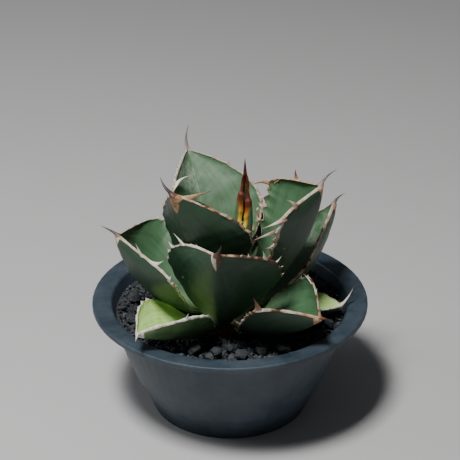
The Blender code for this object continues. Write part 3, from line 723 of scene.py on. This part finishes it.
def blade(leaf):
    """The midrib's directions, and for each side its two skins and its margin with the way that it faces."""
    share, point, along, left, upper = midrib(leaf)
    rows = share[:, None]
    step = np.linspace(0.0, 1.0, HALF_COLUMNS + 1)
    column = step - 0.12 * np.sin(math.tau * step)
    opening = ROOT_FOLD + (1.0 - ROOT_FOLD) * smooth(share / FOLD_REACH)
    keel = leaf.get("keel", KEEL_AT_ROOT)
    middle = keel + (min(keel, KEEL_AT_TIP) - keel) * rows
    crease = 0.16 - 0.10 * rows
    halves = {}
    for side, sign, number in (("left", 1.0, 0), ("right", -1.0, 1)):
        fold = np.radians(leaf["fold"][number]) * (1.0 + (leaf["tip_fold"] - 1.0) * share) * opening
        swell = swell_at_teeth(leaf, share, side)
        body = np.sin(math.pi * np.clip(share, 0.0, 1.0)) ** 0.5
        trimmed = leaf.get("trim", (0.0, 0.0))[number] * smooth((share - 0.5) / 0.2)
        width = half_width(leaf, share) * (1.0 - trimmed)
        jag = wavy((share * leaf["length"] / JAG_PITCH)[:, None], leaf["azimuth"] + 40 + number, 12)
        jag = JAG * jag if leaf["ripple"] else 0.0
        notch = np.maximum((leaf["scallop"] * (swell - 0.75) + jag) * MM * body, -NOTCH_LIMIT * width)
        width = width[:, None] + notch[:, None] * column ** 6
        slope = 0.5 * fold[:, None] * (np.tanh(column / crease) + column)
        gaps = np.diff(column)
        run = np.cumsum(0.5 * (np.cos(slope[:, 1:]) + np.cos(slope[:, :-1])) * gaps, 1)
        climb = np.cumsum(0.5 * (np.sin(slope[:, 1:]) + np.sin(slope[:, :-1])) * gaps, 1)
        run = np.concatenate([np.zeros_like(rows), run], 1) * width * sign
        climb = np.concatenate([np.zeros_like(rows), climb], 1) * width
        place = point[:, None] + left[:, None] * run[..., None] + upper[:, None] * climb[..., None]
        back = left[:, None] * (np.sin(slope) * sign)[..., None] - upper[:, None] * np.cos(slope)[..., None]
        thick = MARGIN_THICKNESS + (middle - MARGIN_THICKNESS) * (1.0 - column ** 1.6)
        from_edge = width * (1.0 - column)
        ripple = wavy(np.stack([rows * leaf["length"] / 30 + 0 * column, column * sign + 0 * rows], -1),
                      leaf["azimuth"] + 9, 10, 1.4)
        ripple = ripple * leaf["ripple"] * MM * smooth((share - 0.12) / 0.25)[:, None] * column ** 2.5
        ripple *= smooth((1.0 - share) / 0.12)[:, None]
        flesh = wavy(place / 0.016, leaf["azimuth"], 14) * FLESH_SWELL * np.minimum(thick / 0.002, 1.0)
        flute = wavy(np.stack([3.4 * column * sign + 0 * rows, 0.9 * rows + 0 * column], -1),
                     leaf["azimuth"], 12)
        flute = (flute - 1.0) * leaf.get("flute", 0.10) * MM
        flute = flute * np.sin(math.pi * column) * smooth(share / 0.3)[:, None]
        rim = np.exp(-((from_edge - RIM_WIDTH) / RIM_WIDTH) ** 2) * (0.00012 + 0.00035 * swell[:, None])
        place = place + back * ripple[..., None]
        over = place - back * (flesh + rim + flute)[..., None]
        under = place + back * (thick + rim + flesh)[..., None]
        outward = left * (np.cos(slope[:, -1]) * sign)[:, None] + upper * np.sin(slope[:, -1])[:, None]
        bead = []
        for k in range(1, BEAD_POINTS + 1):
            angle = math.pi * k / (BEAD_POINTS + 1)
            center = (over[:, -1] + under[:, -1]) / 2
            radius = np.linalg.norm(over[:, -1] - under[:, -1], axis=1, keepdims=True) / 2
            bead.append(center + radius * (outward * math.sin(angle) - back[:, -1] * math.cos(angle)))
        halves[side] = dict(over=over, under=under, bead=np.stack(bead, 1), from_edge=from_edge,
                            column=column, outward=outward, back=back[:, -1])
    return share, along, left, upper, halves


def ring_values(leaf, share, halves):
    """The rings in order round the leaf, with the values that the skin reads at each of their points."""
    right, other = halves["right"], halves["left"]
    rings = np.concatenate([right["over"][:, ::-1], other["over"][:, 1:], other["bead"],
                            other["under"][:, ::-1], right["under"][:, 1:], right["bead"][:, ::-1]], 1)
    count = rings.shape[1]
    bead = np.zeros((len(share), BEAD_POINTS))
    edge = np.concatenate([right["from_edge"][:, ::-1], other["from_edge"][:, 1:], bead,
                           other["from_edge"][:, ::-1], right["from_edge"][:, 1:], bead], 1) * 1000.0
    column = np.repeat(right["column"][None], len(share), 0)
    across = np.concatenate([-column[:, ::-1], column[:, 1:], bead + 1.0,
                             column[:, ::-1], -column[:, 1:], bead - 1.0], 1)
    inner = np.concatenate([column * 0.0 + 1.0, column[:, 1:] * 0.0 + 1.0, bead + 0.5,
                            column * 0.0, column[:, 1:] * 0.0, bead + 0.5], 1)
    along = np.repeat(share[:, None], count, 1)
    to_tip = (1.0 - along) * leaf["length"]
    wide = leaf["patch"][1] * np.clip(1.0 - to_tip / leaf["patch"][0], 0.0, 1.0) + 0.01
    from_middle = np.abs(across) * (half_width(leaf, share) * 1000.0)[:, None]
    horn = np.clip(1.2 - 0.6 * from_middle / wide, 0.0, 1.0) * (to_tip < leaf["patch"][0])
    horn = horn * (1.0 - inner * 0.6)
    on_left = across > 0
    band = np.where(on_left, *leaf.get("band", (0.5, 0.5))) * smooth((along - 0.12) / 0.35)
    bleach = np.where(on_left, *leaf.get("bleach", (0.45, 0.45)))
    worn = np.where(on_left, *leaf.get("worn", (0.0, 0.0))) * smooth((along - 0.45) / 0.4)
    return rings, dict(along=along, across=across, from_edge=edge, inner=inner, horn=horn, band=band,
                       bleach=bleach, worn=worn)


def end_spine(leaf, last, along, left, upper):
    """Rings of the end spine: the blade's last ring closes in to a round, tapering, slightly bent horn."""
    length, lift, side = leaf["spine"]
    bend = leaf.get("bend", (0.0, 0.0))
    lift, side = math.radians(lift), math.radians(side)
    way = (along * math.cos(side) + left * math.sin(side)) * math.cos(lift) + upper * math.sin(lift)
    middle = last.mean(0)
    offsets = last - middle
    flat_left, flat_upper = offsets @ left, offsets @ upper
    angle = np.arctan2(flat_upper, flat_left)
    rings, reach = [], []
    for i in range(1, SPINE_ROWS + 1):
        share = i / SPINE_ROWS
        turned = 0.4 + 0.6 * share
        center = middle + (along * (1.0 - turned) + way * turned) * (length * MM * share)
        center = center + (left * bend[0] + upper * bend[1]) * MM * math.sin(math.pi * share)
        radius = SPINE_RADIUS * (1.0 - share) ** 0.85 * (1.0 - 0.25 * share) + 0.00003
        groove = 1.0 - 0.22 * max(0.0, 1.0 - 2.0 * share) * np.exp(-((angle - math.pi / 2) / 0.5) ** 2)
        round_ring = np.cos(angle)[:, None] * left + np.sin(angle)[:, None] * upper
        round_ring = radius * groove[:, None] * round_ring
        blend = float(smooth(share / 0.22))
        rings.append(center + offsets * (1.0 - share) * (1.0 - blend) + round_ring * blend)
        reach.append(share)
    return np.stack(rings), np.array(reach)


def horn_tube(root, ways, long_way, length, base_wide, base_thick):
    """A closed curved tooth: it starts inside the margin and follows its ways, tapering to a point."""
    share = np.linspace(0.0, 1.0, TOOTH_ROWS + 1)
    line = np.concatenate([np.zeros((1, 3)), np.cumsum((ways[1:] + ways[:-1]) / 2, 0)])
    line = root + line * (length / TOOTH_ROWS)
    flare = (1.0 - share) ** 2.2
    wide = base_wide * (0.62 * flare + 0.38 * (1.0 - share) ** 0.9) + 0.00002
    thick = base_thick * (0.30 * flare + 0.70 * (1.0 - share) ** 0.8) + 0.00002
    points = []
    for k in range(TOOTH_ROWS + 1):
        side = long_way - ways[k] * (long_way @ ways[k])
        side /= np.linalg.norm(side)
        lift = np.cross(ways[k], side)
        for i in range(TOOTH_SIDES):
            angle = math.tau * i / TOOTH_SIDES
            points.append(line[k] + side * wide[k] * math.cos(angle) + lift * thick[k] * math.sin(angle))
    points += [line[0] - ways[0] * 0.0002, line[-1] + ways[-1] * 0.0002]
    faces = []
    for i in range(TOOTH_SIDES):
        j = (i + 1) % TOOTH_SIDES
        for k in range(TOOTH_ROWS):
            here, there = k * TOOTH_SIDES, (k + 1) * TOOTH_SIDES
            faces.append((here + i, here + j, there + j, there + i))
        faces.append((j, i, len(points) - 2))
        faces.append((TOOTH_ROWS * TOOTH_SIDES + i, TOOTH_ROWS * TOOTH_SIDES + j, len(points) - 1))
    reach = np.concatenate([np.repeat(share, TOOTH_SIDES), [0.0, 1.0]])
    return np.array(points), faces, reach


def teeth(leaf, side, share, along, halves):
    """The teeth of one margin: points, faces, how far each point is towards the tip, and its kind of horn."""
    half = halves[side]
    made = []
    for place, length, lean, curl, lift, *special in leaf[side]:
        horn, breadth = special or (leaf["nibs"], 1.0)
        row = int(round(place * LEAF_ROWS))
        out, tangent, normal = half["outward"][row], along[row], -half["back"][row]
        edge_line = (half["over"][:, -1] + half["under"][:, -1]) / 2
        margin = edge_line[row]
        run = edge_line[min(row + 2, LEAF_ROWS)] - edge_line[row - 2]
        run /= np.linalg.norm(run)
        inward = (out @ run) * run - out
        inward /= np.linalg.norm(inward)
        step = np.linspace(0.0, 1.0, TOOTH_ROWS + 1)[:, None]
        angle = np.radians(lean + curl * step)
        tilt = np.radians(lift * (0.3 + 0.7 * step))
        ways = np.cos(tilt) * (out * np.cos(angle) + tangent * np.sin(angle)) + normal * np.sin(tilt)
        buried = TOOTH_ROOTS[length >= LONG_TOOTH]
        wide = MM * min(0.75 + 0.17 * length, 2.3) * breadth
        root = margin + inward * buried
        made.append((*horn_tube(root, ways, run, length * MM + buried, wide, TOOTH_THICKNESS), horn))
    return made


def grow_leaf(name, leaf):
    """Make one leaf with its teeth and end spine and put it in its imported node's place."""
    share, along, left, upper, halves = blade(leaf)
    rings, values = ring_values(leaf, share, halves)
    spine, reach = end_spine(leaf, rings[-1], along[-1], left[-1], upper[-1])
    around = rings.shape[1]
    points = [rings.reshape(-1, 3), spine.reshape(-1, 3)]
    total = len(rings) + len(spine)
    faces, kinds = [], []
    for k in range(total - 1):
        here, there = k * around, (k + 1) * around
        faces += [(here + i, there + i, there + (i + 1) % around, here + (i + 1) % around)
                  for i in range(around)]
        kinds += [0 if k < len(rings) - 1 else 1] * around
    columns = len(halves["left"]["column"])
    upper_count = 2 * columns - 1
    under_start = upper_count + BEAD_POINTS
    for i in range(upper_count - 1):
        back_here = under_start + upper_count - 1 - i
        faces.append((i, i + 1, back_here - 1, back_here))
        kinds.append(0)
    faces.append((0, under_start + upper_count - 1, *range(under_start + upper_count, around)))
    faces.append((upper_count - 1, *range(upper_count, under_start), under_start))
    kinds += [0, 0]
    tip = total * around
    points.append(spine[-1].mean(0, keepdims=True))
    last = (total - 1) * around
    faces += [(last + i, tip, last + (i + 1) % around) for i in range(around)]
    kinds += [1] * around
    fillers = dict(along=1.0, inner=0.5, horn=1.0)
    carried = {label: [value.reshape(-1), np.full(len(spine) * around + 1, fillers.get(label, 0.0))]
               for label, value in values.items()}
    carried["to_point"] = [np.zeros(rings.shape[0] * around), np.repeat(0.15 + 0.85 * reach, around), [1.0]]
    first = tip + 1
    for side in ("left", "right"):
        for tooth_points, tooth_faces, tooth_reach, tooth_horn in teeth(leaf, side, share, along, halves):
            points.append(tooth_points)
            faces += [tuple(first + i for i in face) for face in tooth_faces]
            kinds += [2 + TOOTH_HORNS.index(tooth_horn)] * len(tooth_faces)
            first += len(tooth_points)
            for label in values:
                carried[label].append(np.zeros(len(tooth_points)))
            carried["to_point"].append(tooth_reach)
    numbers = {label: np.concatenate(parts) for label, parts in carried.items()}
    finishes = [skins[leaf["skin"]], horns[leaf["horn"]], *(horns[kind] for kind in TOOTH_HORNS)]
    obj = put_together(name, np.concatenate(points), faces, finishes, numbers)
    obj.data.polygons.foreach_set("material_index", kinds)
    checked = bmesh.new()
    checked.from_mesh(obj.data)
    bmesh.ops.recalc_face_normals(checked, faces=checked.faces)
    checked.to_mesh(obj.data)
    checked.free()
    return obj


# One row a leaf.  Lengths are in millimetres and angles in degrees: the height at which it leaves the stem,
# its length and half width, its slope at root and tip, its folds, its outline, and its end spine (length,
# lift, lean) with the bow in it.  patch is the horn behind the end spine, its length and half width.  band,
# bleach, worn and trim each give the left margin's value and then the right one's: width of cork, how pale,
# how scarred, and how much is missing towards the tip.  flute is how deep the face is grooved.
# A tooth is its place along the margin, its length, its lean to the tip, how far that turns, and its lift;
# one that differs from the leaf's nibs also names its kind of horn and its breadth.
LEAVES = (
    dict(node="leaf_front_left_low", skin="faded", horn="bleached", nibs="bleached",
         azimuth=225, height=6, length=58, half=25, widest=0.49, point=2.1, root=4.5, patch=(5, 2.4),
         rise=(8, 28), swing=2, twist=-4, fold=(58, 34), tip_fold=1.19, spine=(9, -20, 42),
         bend=(1.0, -0.3),
         scallop=0.7, ripple=0.5, band=(0.36, 0.30), bleach=(0.9, 0.9),
         left=((0.24, 1.2, 20, 20, 0), (0.38, 4.5, 20, 30, 10), (0.50, 0.9, 0, 0, 0),
               (0.62, 1.4, 10, 30, 0), (0.70, 4.2, 18, 0, 10), (0.80, 1.5, 10, 30, 0),
               (0.90, 1, 20, 20, 0)),
         right=((0.30, 1.2, 10, 20, 0), (0.44, 1.2, 0, 20, 0), (0.56, 1.6, 0, 30, 0),
                (0.68, 1.2, 10, 30, 0), (0.78, 1.4, 10, 30, 0), (0.88, 1.1, 20, 20, 0))),
    dict(node="leaf_front_right_low", skin="grey_green", horn="brown", nibs="bleached",
         azimuth=318, height=7, length=61, half=32, widest=0.67, point=2.4, root=4.5, patch=(6, 2.4),
         rise=(4, 43), swing=4, twist=-19, fold=(70, 33), tip_fold=1.14, spine=(12, -25, -17),
         bend=(-0.7, -0.8),
         scallop=0.8, ripple=0.6,
         left=((0.30, 1.6, 10, 20, 0), (0.45, 4, 10, 30, 10), (0.60, 1.9, 10, 20, 0),
               (0.72, 1.9, 10, 20, 0), (0.83, 7.7, -21, -18, 15), (0.90, 1.9, 20, 30, 0)),
         right=((0.27, 8, -10, 30, 10), (0.42, 1.9, 0, 20, 0), (0.53, 1.6, 0, 20, 0),
                (0.64, 2.2, 10, 30, 0), (0.75, 10.2, 43, -28, 19, "brown", 1.3), (0.83, 2, 10, 30, 0),
                (0.91, 1.4, 20, 20, 0))),
    dict(node="leaf_right_low", skin="faded", horn="bleached", nibs="bleached",
         azimuth=3, height=5.5, length=55, half=17, widest=0.60, point=2.2, root=3.8, patch=(5, 2.4),
         rise=(1, 11), swing=1, twist=10, fold=(10, 48), tip_fold=1.04, spine=(13, 35, 30),
         bend=(0.7, 0.7),
         scallop=0.7, ripple=0.4, band=(0.36, 0.30), bleach=(0.9, 0.9),
         left=((0.28, 1.2, 0, 20, 0), (0.45, 1.6, 10, 20, 0), (0.60, 1.2, 10, 20, 0),
               (0.73, 1.6, 10, 30, 0), (0.86, 1.5, 20, 20, 0)),
         right=((0.28, 1.2, 0, 20, 0), (0.45, 1.5, 0, 30, 0), (0.60, 1.4, 10, 30, 0),
                (0.73, 1.9, 10, 30, 0), (0.86, 1.4, 20, 20, 0))),
    dict(node="leaf_back_low", skin="grey_green", horn="grey", nibs="bleached",
         azimuth=91, height=8, length=58, half=17, widest=0.58, point=2.1, root=4.5, patch=(7, 3),
         rise=(8, 30), swing=0, twist=0, fold=(36, 36), tip_fold=1, spine=(9, 10, 0),
         scallop=0.7, ripple=0.5,
         left=((0.22, 1.2, 0, 20, 0), (0.36, 1.9, 0, 20, 0), (0.50, 2.1, 10, 20, 5),
               (0.63, 1.9, 10, 20, 0), (0.75, 1.6, 10, 30, 0), (0.87, 1.2, 20, 20, 0)),
         right=((0.26, 1.2, 0, 20, 0), (0.41, 2, 0, 20, 0), (0.56, 1.9, 10, 20, 5),
                (0.69, 2.1, 10, 20, 0), (0.80, 1.5, 10, 30, 0), (0.90, 1.1, 20, 20, 0))),
    dict(node="leaf_back_left_low", skin="grey_green", horn="grey", nibs="bleached",
         azimuth=145, height=7, length=46, half=17, widest=0.58, point=2.1, root=4.5, patch=(6, 3),
         rise=(0, 35), swing=0, twist=-2, fold=(26, 36), tip_fold=1, spine=(8, 10, 0),
         scallop=0.7, ripple=0.5,
         left=((0.24, 1.2, 0, 20, 0), (0.38, 1.9, 0, 20, 0), (0.54, 2, 10, 20, 5), (0.68, 1.6, 10, 20, 0),
               (0.82, 1.4, 10, 30, 0)),
         right=((0.28, 1.2, 0, 20, 0), (0.44, 1.9, 0, 20, 0), (0.60, 1.7, 10, 20, 5),
                (0.75, 1.7, 10, 20, 0), (0.88, 1.2, 20, 20, 0))),
    dict(node="leaf_left", skin="grey_green", horn="grey", nibs="bleached",
         azimuth=177, height=12.5, length=71, half=43, widest=0.65, point=2.1, root=5, patch=(7, 2.6),
         rise=(8, 81), swing=13, twist=6, fold=(51, 70), tip_fold=0.6, spine=(13, -44, 4),
         bend=(0.5, -1.0),
         scallop=1.1, ripple=0.9, flute=0.50, bleach=(0.7, 0.7),
         left=((0.26, 1.6, 0, 20, 0), (0.40, 2.2, 0, 30, 0), (0.52, 1.9, 0, 30, 0),
               (0.62, 1.9, 10, 30, 0), (0.71, 5, 20, 30, 10), (0.79, 1.6, 10, 30, 0),
               (0.86, 9.1, 6, 21, 21, "bleached", 1.1), (0.91, 8.2, 95, 2, -3, "bleached", 1.2)),
         right=((0.30, 1.6, 0, 20, 0), (0.45, 2, 0, 20, 0), (0.57, 1.9, 0, 30, 0), (0.66, 2.1, 10, 20, 0),
                (0.74, 1.9, 10, 30, 0), (0.81, 2, 10, 30, 0), (0.88, 1.6, 20, 20, 0))),
    dict(node="leaf_front", skin="grey_green", horn="dark", nibs="bleached",
         azimuth=263, height=11, length=69, half=37, widest=0.51, point=2.2, root=5.5, patch=(10, 1.7),
         rise=(51, 68), swing=6, twist=-11, fold=(34, 38), tip_fold=1.37, spine=(11.8, -6, 15),
         bend=(0.8, -0.4),
         scallop=0.9, ripple=0.7, bleach=(0.10, 0.80),
         left=((0.32, 1.9, 0, 20, 0), (0.46, 2.1, 0, 30, 0), (0.58, 1.9, 0, 30, 0), (0.68, 5, 10, 40, 10),
               (0.78, 6.3, 75, 30, 22), (0.88, 3.2, 90, 0, 13), (0.92, 1.5, 20, 20, 0)),
         right=((0.32, 1.9, 0, 20, 0), (0.46, 2.1, 0, 30, 0), (0.57, 1.9, 10, 30, 0),
                (0.65, 4.5, 18, -10, 0), (0.79, 8.7, 27, -18, -13), (0.86, 1.6, 10, 30, 0),
                (0.90, 1.9, 20, 20, 0))),
    dict(node="leaf_right_back", skin="grey_green", horn="grey", nibs="brown",
         azimuth=28, height=12, length=84, half=26, widest=0.53, point=1.7, root=4.5, patch=(7, 2.6),
         rise=(-2, 77), swing=9, twist=-20, fold=(25, 40), tip_fold=1.2, spine=(12.4, -16, -33),
         bend=(0.3, 0.1),
         scallop=0.9, ripple=0.8, bleach=(0.6, 0.6), worn=(0.9, 0.9),
         left=((0.26, 1.6, 0, 20, 0), (0.40, 1.9, 0, 20, 0), (0.52, 2, 0, 30, 0), (0.64, 2.1, 10, 20, 0),
               (0.75, 1.9, 10, 30, 0), (0.84, 1.9, 20, 20, 0), (0.92, 1.2, 20, 20, 0)),
         right=((0.30, 1.9, 0, 20, 0), (0.42, 1.9, 0, 30, 0), (0.52, 5.5, 0, 40, 5),
                (0.64, 1.9, 10, 20, 0), (0.74, 2, 10, 30, 0), (0.84, 1.9, 20, 20, 0),
                (0.92, 1.2, 20, 20, 0))),
    dict(node="leaf_back", skin="grey_green", horn="grey", nibs="brown",
         azimuth=76, height=15, length=60, half=23, widest=0.60, point=2.1, root=4.5, patch=(9, 4),
         rise=(45, 61), swing=1, twist=1, fold=(38, 34), tip_fold=0.99, spine=(9, -20, 0),
         scallop=0.9, ripple=0.6,
         left=((0.28, 1.6, 0, 20, 0), (0.41, 4, 0, 30, 0), (0.54, 2.1, 10, 20, 0),
               (0.65, 4.5, 10, 40, 10), (0.76, 2.1, 10, 30, 0), (0.86, 1.9, 20, 20, 0)),
         right=((0.28, 1.6, 0, 20, 0), (0.41, 4, 0, 30, 0), (0.54, 2.1, 10, 20, 0),
                (0.65, 4.5, 10, 40, 10), (0.76, 2.1, 10, 30, 0), (0.86, 1.9, 20, 20, 0))),
    dict(node="leaf_right", skin="grey_green", horn="grey", nibs="stained",
         azimuth=3, height=19, length=82, half=35, widest=0.79, point=2.5, root=5.5, patch=(8, 4),
         rise=(35, 82), swing=4, twist=-8, fold=(64, 52), tip_fold=0.96, spine=(14.5, -34, -4),
         bend=(1.1, -0.3),
         scallop=3.2, ripple=0.9, band=(0.6, 1.9), bleach=(0.30, 0.58),
         left=((0.34, 1.9, 0, 20, 0), (0.46, 4, 0, 20, 0), (0.57, 4, 0, 30, 0), (0.66, 3.5, -10, -40, 10),
               (0.74, 2, -20, -50, 20), (0.81, 11.2, -4, -50, 10, "cream", 1.0),
               (0.90, 7.5, -4, -119, -10, "cream", 1.0), (0.95, 5.8, 44, 35, -7, "brown", 1.9)),
         right=((0.32, 1.9, 0, 20, 0), (0.42, 2, 10, 20, 10), (0.54, 4, -5, -5, 3), (0.63, 1.9, 0, 20, 0),
                (0.73, 13.6, -17, -35, 25), (0.87, 13.4, -29, 5, 17, "stained", 0.85),
                (0.93, 8.4, 50, -35, 14))),
    dict(node="leaf_front_left", skin="grey_green", horn="dark", nibs="cream",
         azimuth=233, height=22.5, length=79, half=33, widest=0.55, point=1.6, root=5.5, patch=(11, 4.4),
         rise=(69, 70), swing=-23, twist=8, fold=(60, 23), tip_fold=0.89, spine=(12.5, 5, -47),
         bend=(-0.7, -1.3),
         scallop=1.0, ripple=0.7, bleach=(0.34, 0.34),
         left=((0.36, 1.9, 0, 20, 0), (0.47, 2.1, 0, 20, 0), (0.58, 1.9, 10, 20, 0), (0.67, 4, 10, 30, 0),
               (0.76, 1.9, 10, 30, 0), (0.85, 2, 20, 50, 10), (0.93, 8.5, -6, -54, -11, "dark", 1.0),
               (0.97, 15, 2, -6, 6)),
         right=((0.36, 1.6, 0, 20, 0), (0.48, 1.9, 0, 20, 0), (0.60, 1.9, 0, 30, 0),
                (0.71, 2.2, 10, 30, 0), (0.80, 1.6, 10, 30, 0), (0.88, 1.9, 10, 30, 0))),
    dict(node="leaf_back_left", skin="grey_green", horn="grey", nibs="cream",
         azimuth=111, height=24.5, length=78, half=33, widest=0.52, point=1.8, root=5.5, patch=(6, 3),
         rise=(65, 43), swing=3, twist=-3, fold=(54, 28), tip_fold=1.04, spine=(16.1, 14, -16),
         bend=(0.9, 0.7), trim=(0.09, 0.0),
         scallop=1.0, ripple=0.8, band=(0.7, 0.6), bleach=(0.95, 0.90), worn=(1.0, 0.15),
         left=((0.34, 1.9, 0, 20, 0), (0.48, 4, 10, 20, 0), (0.57, 2, 10, 20, 0),
               (0.67, 16.3, 100, 88, 58, "bleached", 1.0), (0.73, 1.6, 10, 30, 0), (0.78, 1.5, 10, 30, 0),
               (0.85, 1.9, 20, 20, 0), (0.92, 1.2, 20, 20, 0)),
         right=((0.30, 5, 60, 80, 30), (0.36, 7, 40, 100, 40), (0.45, 9.5, -173, 98, 0, "cream", 0.8),
                (0.51, 10.9, 147, 139, -10, "brown", 0.8), (0.62, 12.8, -40, -82, 0, "cream", 0.8),
                (0.72, 3.9, -43, -47, -1), (0.82, 1.9, 20, 20, 0), (0.90, 1.2, 20, 20, 0))),
)
for row in LEAVES:
    node = row["node"]
    leaf = grow_leaf(node.replace("leaf_", "agave_leaf_"), row)
    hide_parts(node)
    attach(leaf, "root")


# ---------------------------------------------------------------- bud
# The three youngest leaves are still pressed into a spear on top of the stem.  They are smooth and green,
# with narrow yellow margins that turn orange towards a dark red-brown point, and hardly any teeth.

BUD_GREENS = ((0.34, (0.055, 0.095, 0.045)), (0.62, (0.120, 0.185, 0.085)))
BUD_MARGIN = (                  # share of the length, and the margin's colour there
    (0.10, (0.46, 0.50, 0.12)),
    (0.74, (0.74, 0.56, 0.05)),
    (0.85, (0.52, 0.19, 0.022)),
    (0.94, (0.12, 0.030, 0.014)),
)
BUD_HEIGHT = 31.0               # where they leave the stem, in millimetres above the grit
BUD_TEETH = 5                   # on each margin
BUD_FROM_AXIS = 0.0058
BUD_LEAN = (0.0112, 0.0040)
BUD_KEEL = 0.0018
BUD = (                         # node, azimuth, length, half width, slopes, end spine, length of a tooth
    ("bud_leaf_back", 85, 60, 5.2, (88, 99), 13.6, 1.0),
    ("bud_leaf_left", 205, 52, 4.5, (88, 100), 9, 0.7),
    ("bud_leaf_right", 325, 48, 5.0, (88, 100), 10, 0.8),
)

young_finish, tree, shader, place = start_material("young_leaf")
along, across, from_edge = (add_node(tree, "ShaderNodeAttribute", attribute_name=label).outputs["Fac"]
                            for label in ("along", "across", "from_edge"))
lengthwise = add_node(tree, "ShaderNodeCombineXYZ", {
    "X": arithmetic(tree, "MULTIPLY", across, 9.0), "Y": arithmetic(tree, "MULTIPLY", along, 1.6)})
streaks = add_node(tree, "ShaderNodeTexNoise", {
    "Vector": lengthwise.outputs["Vector"], "Scale": 1.0, "Detail": 5.0})
body = color_ramp(tree, streaks.outputs["Fac"], BUD_GREENS)
cloud = add_node(tree, "ShaderNodeTexNoise", {"Vector": place, "Scale": 260.0, "Detail": 5.0})
drift = multiply_add(tree, cloud.outputs["Fac"], 0.16, -0.08)
reach = arithmetic(tree, "ADD", along, drift)
margin = color_ramp(tree, reach, BUD_MARGIN)
edge = color_ramp(tree, arithmetic(tree, "MULTIPLY", from_edge, 0.5), ((0.52, 1.0), (0.80, 0.0)))
ripe = color_ramp(tree, reach, ((0.87, 0.0), (0.94, 1.0)))
tone = blend_colors(tree, edge, body, margin)
tone = blend_colors(tree, ripe, tone, margin)
tree.links.new(tone, shader.inputs["Base Color"])
shader.inputs["Roughness"].default_value = 0.40
finish_bump(tree, shader, streaks.outputs["Fac"], 0.0003, 0.6)
skins["young"] = young_finish

for node, azimuth, length, half, rise, spine, nib in BUD:
    row = dict(azimuth=azimuth, height=BUD_HEIGHT, length=length, half=half, widest=0.35, rise=rise,
               swing=0, twist=0, fold=(58, 58), tip_fold=1.0, point=1.3, root=4.0, keel=BUD_KEEL,
               spine=(spine, 0, 0),
               lean=BUD_LEAN, root_radius=BUD_FROM_AXIS, patch=(14, 4), scallop=0.25, ripple=0.0, flute=0.0,
               skin="young", horn="ruddy", nibs="ruddy")
    row["left"] = row["right"] = tuple((0.30 + 0.13 * k, nib, 60, 20, 0) for k in range(BUD_TEETH))
    leaf = grow_leaf(node.replace("bud_leaf_", "spear_leaf_"), row)
    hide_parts(node)
    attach(leaf, "root")
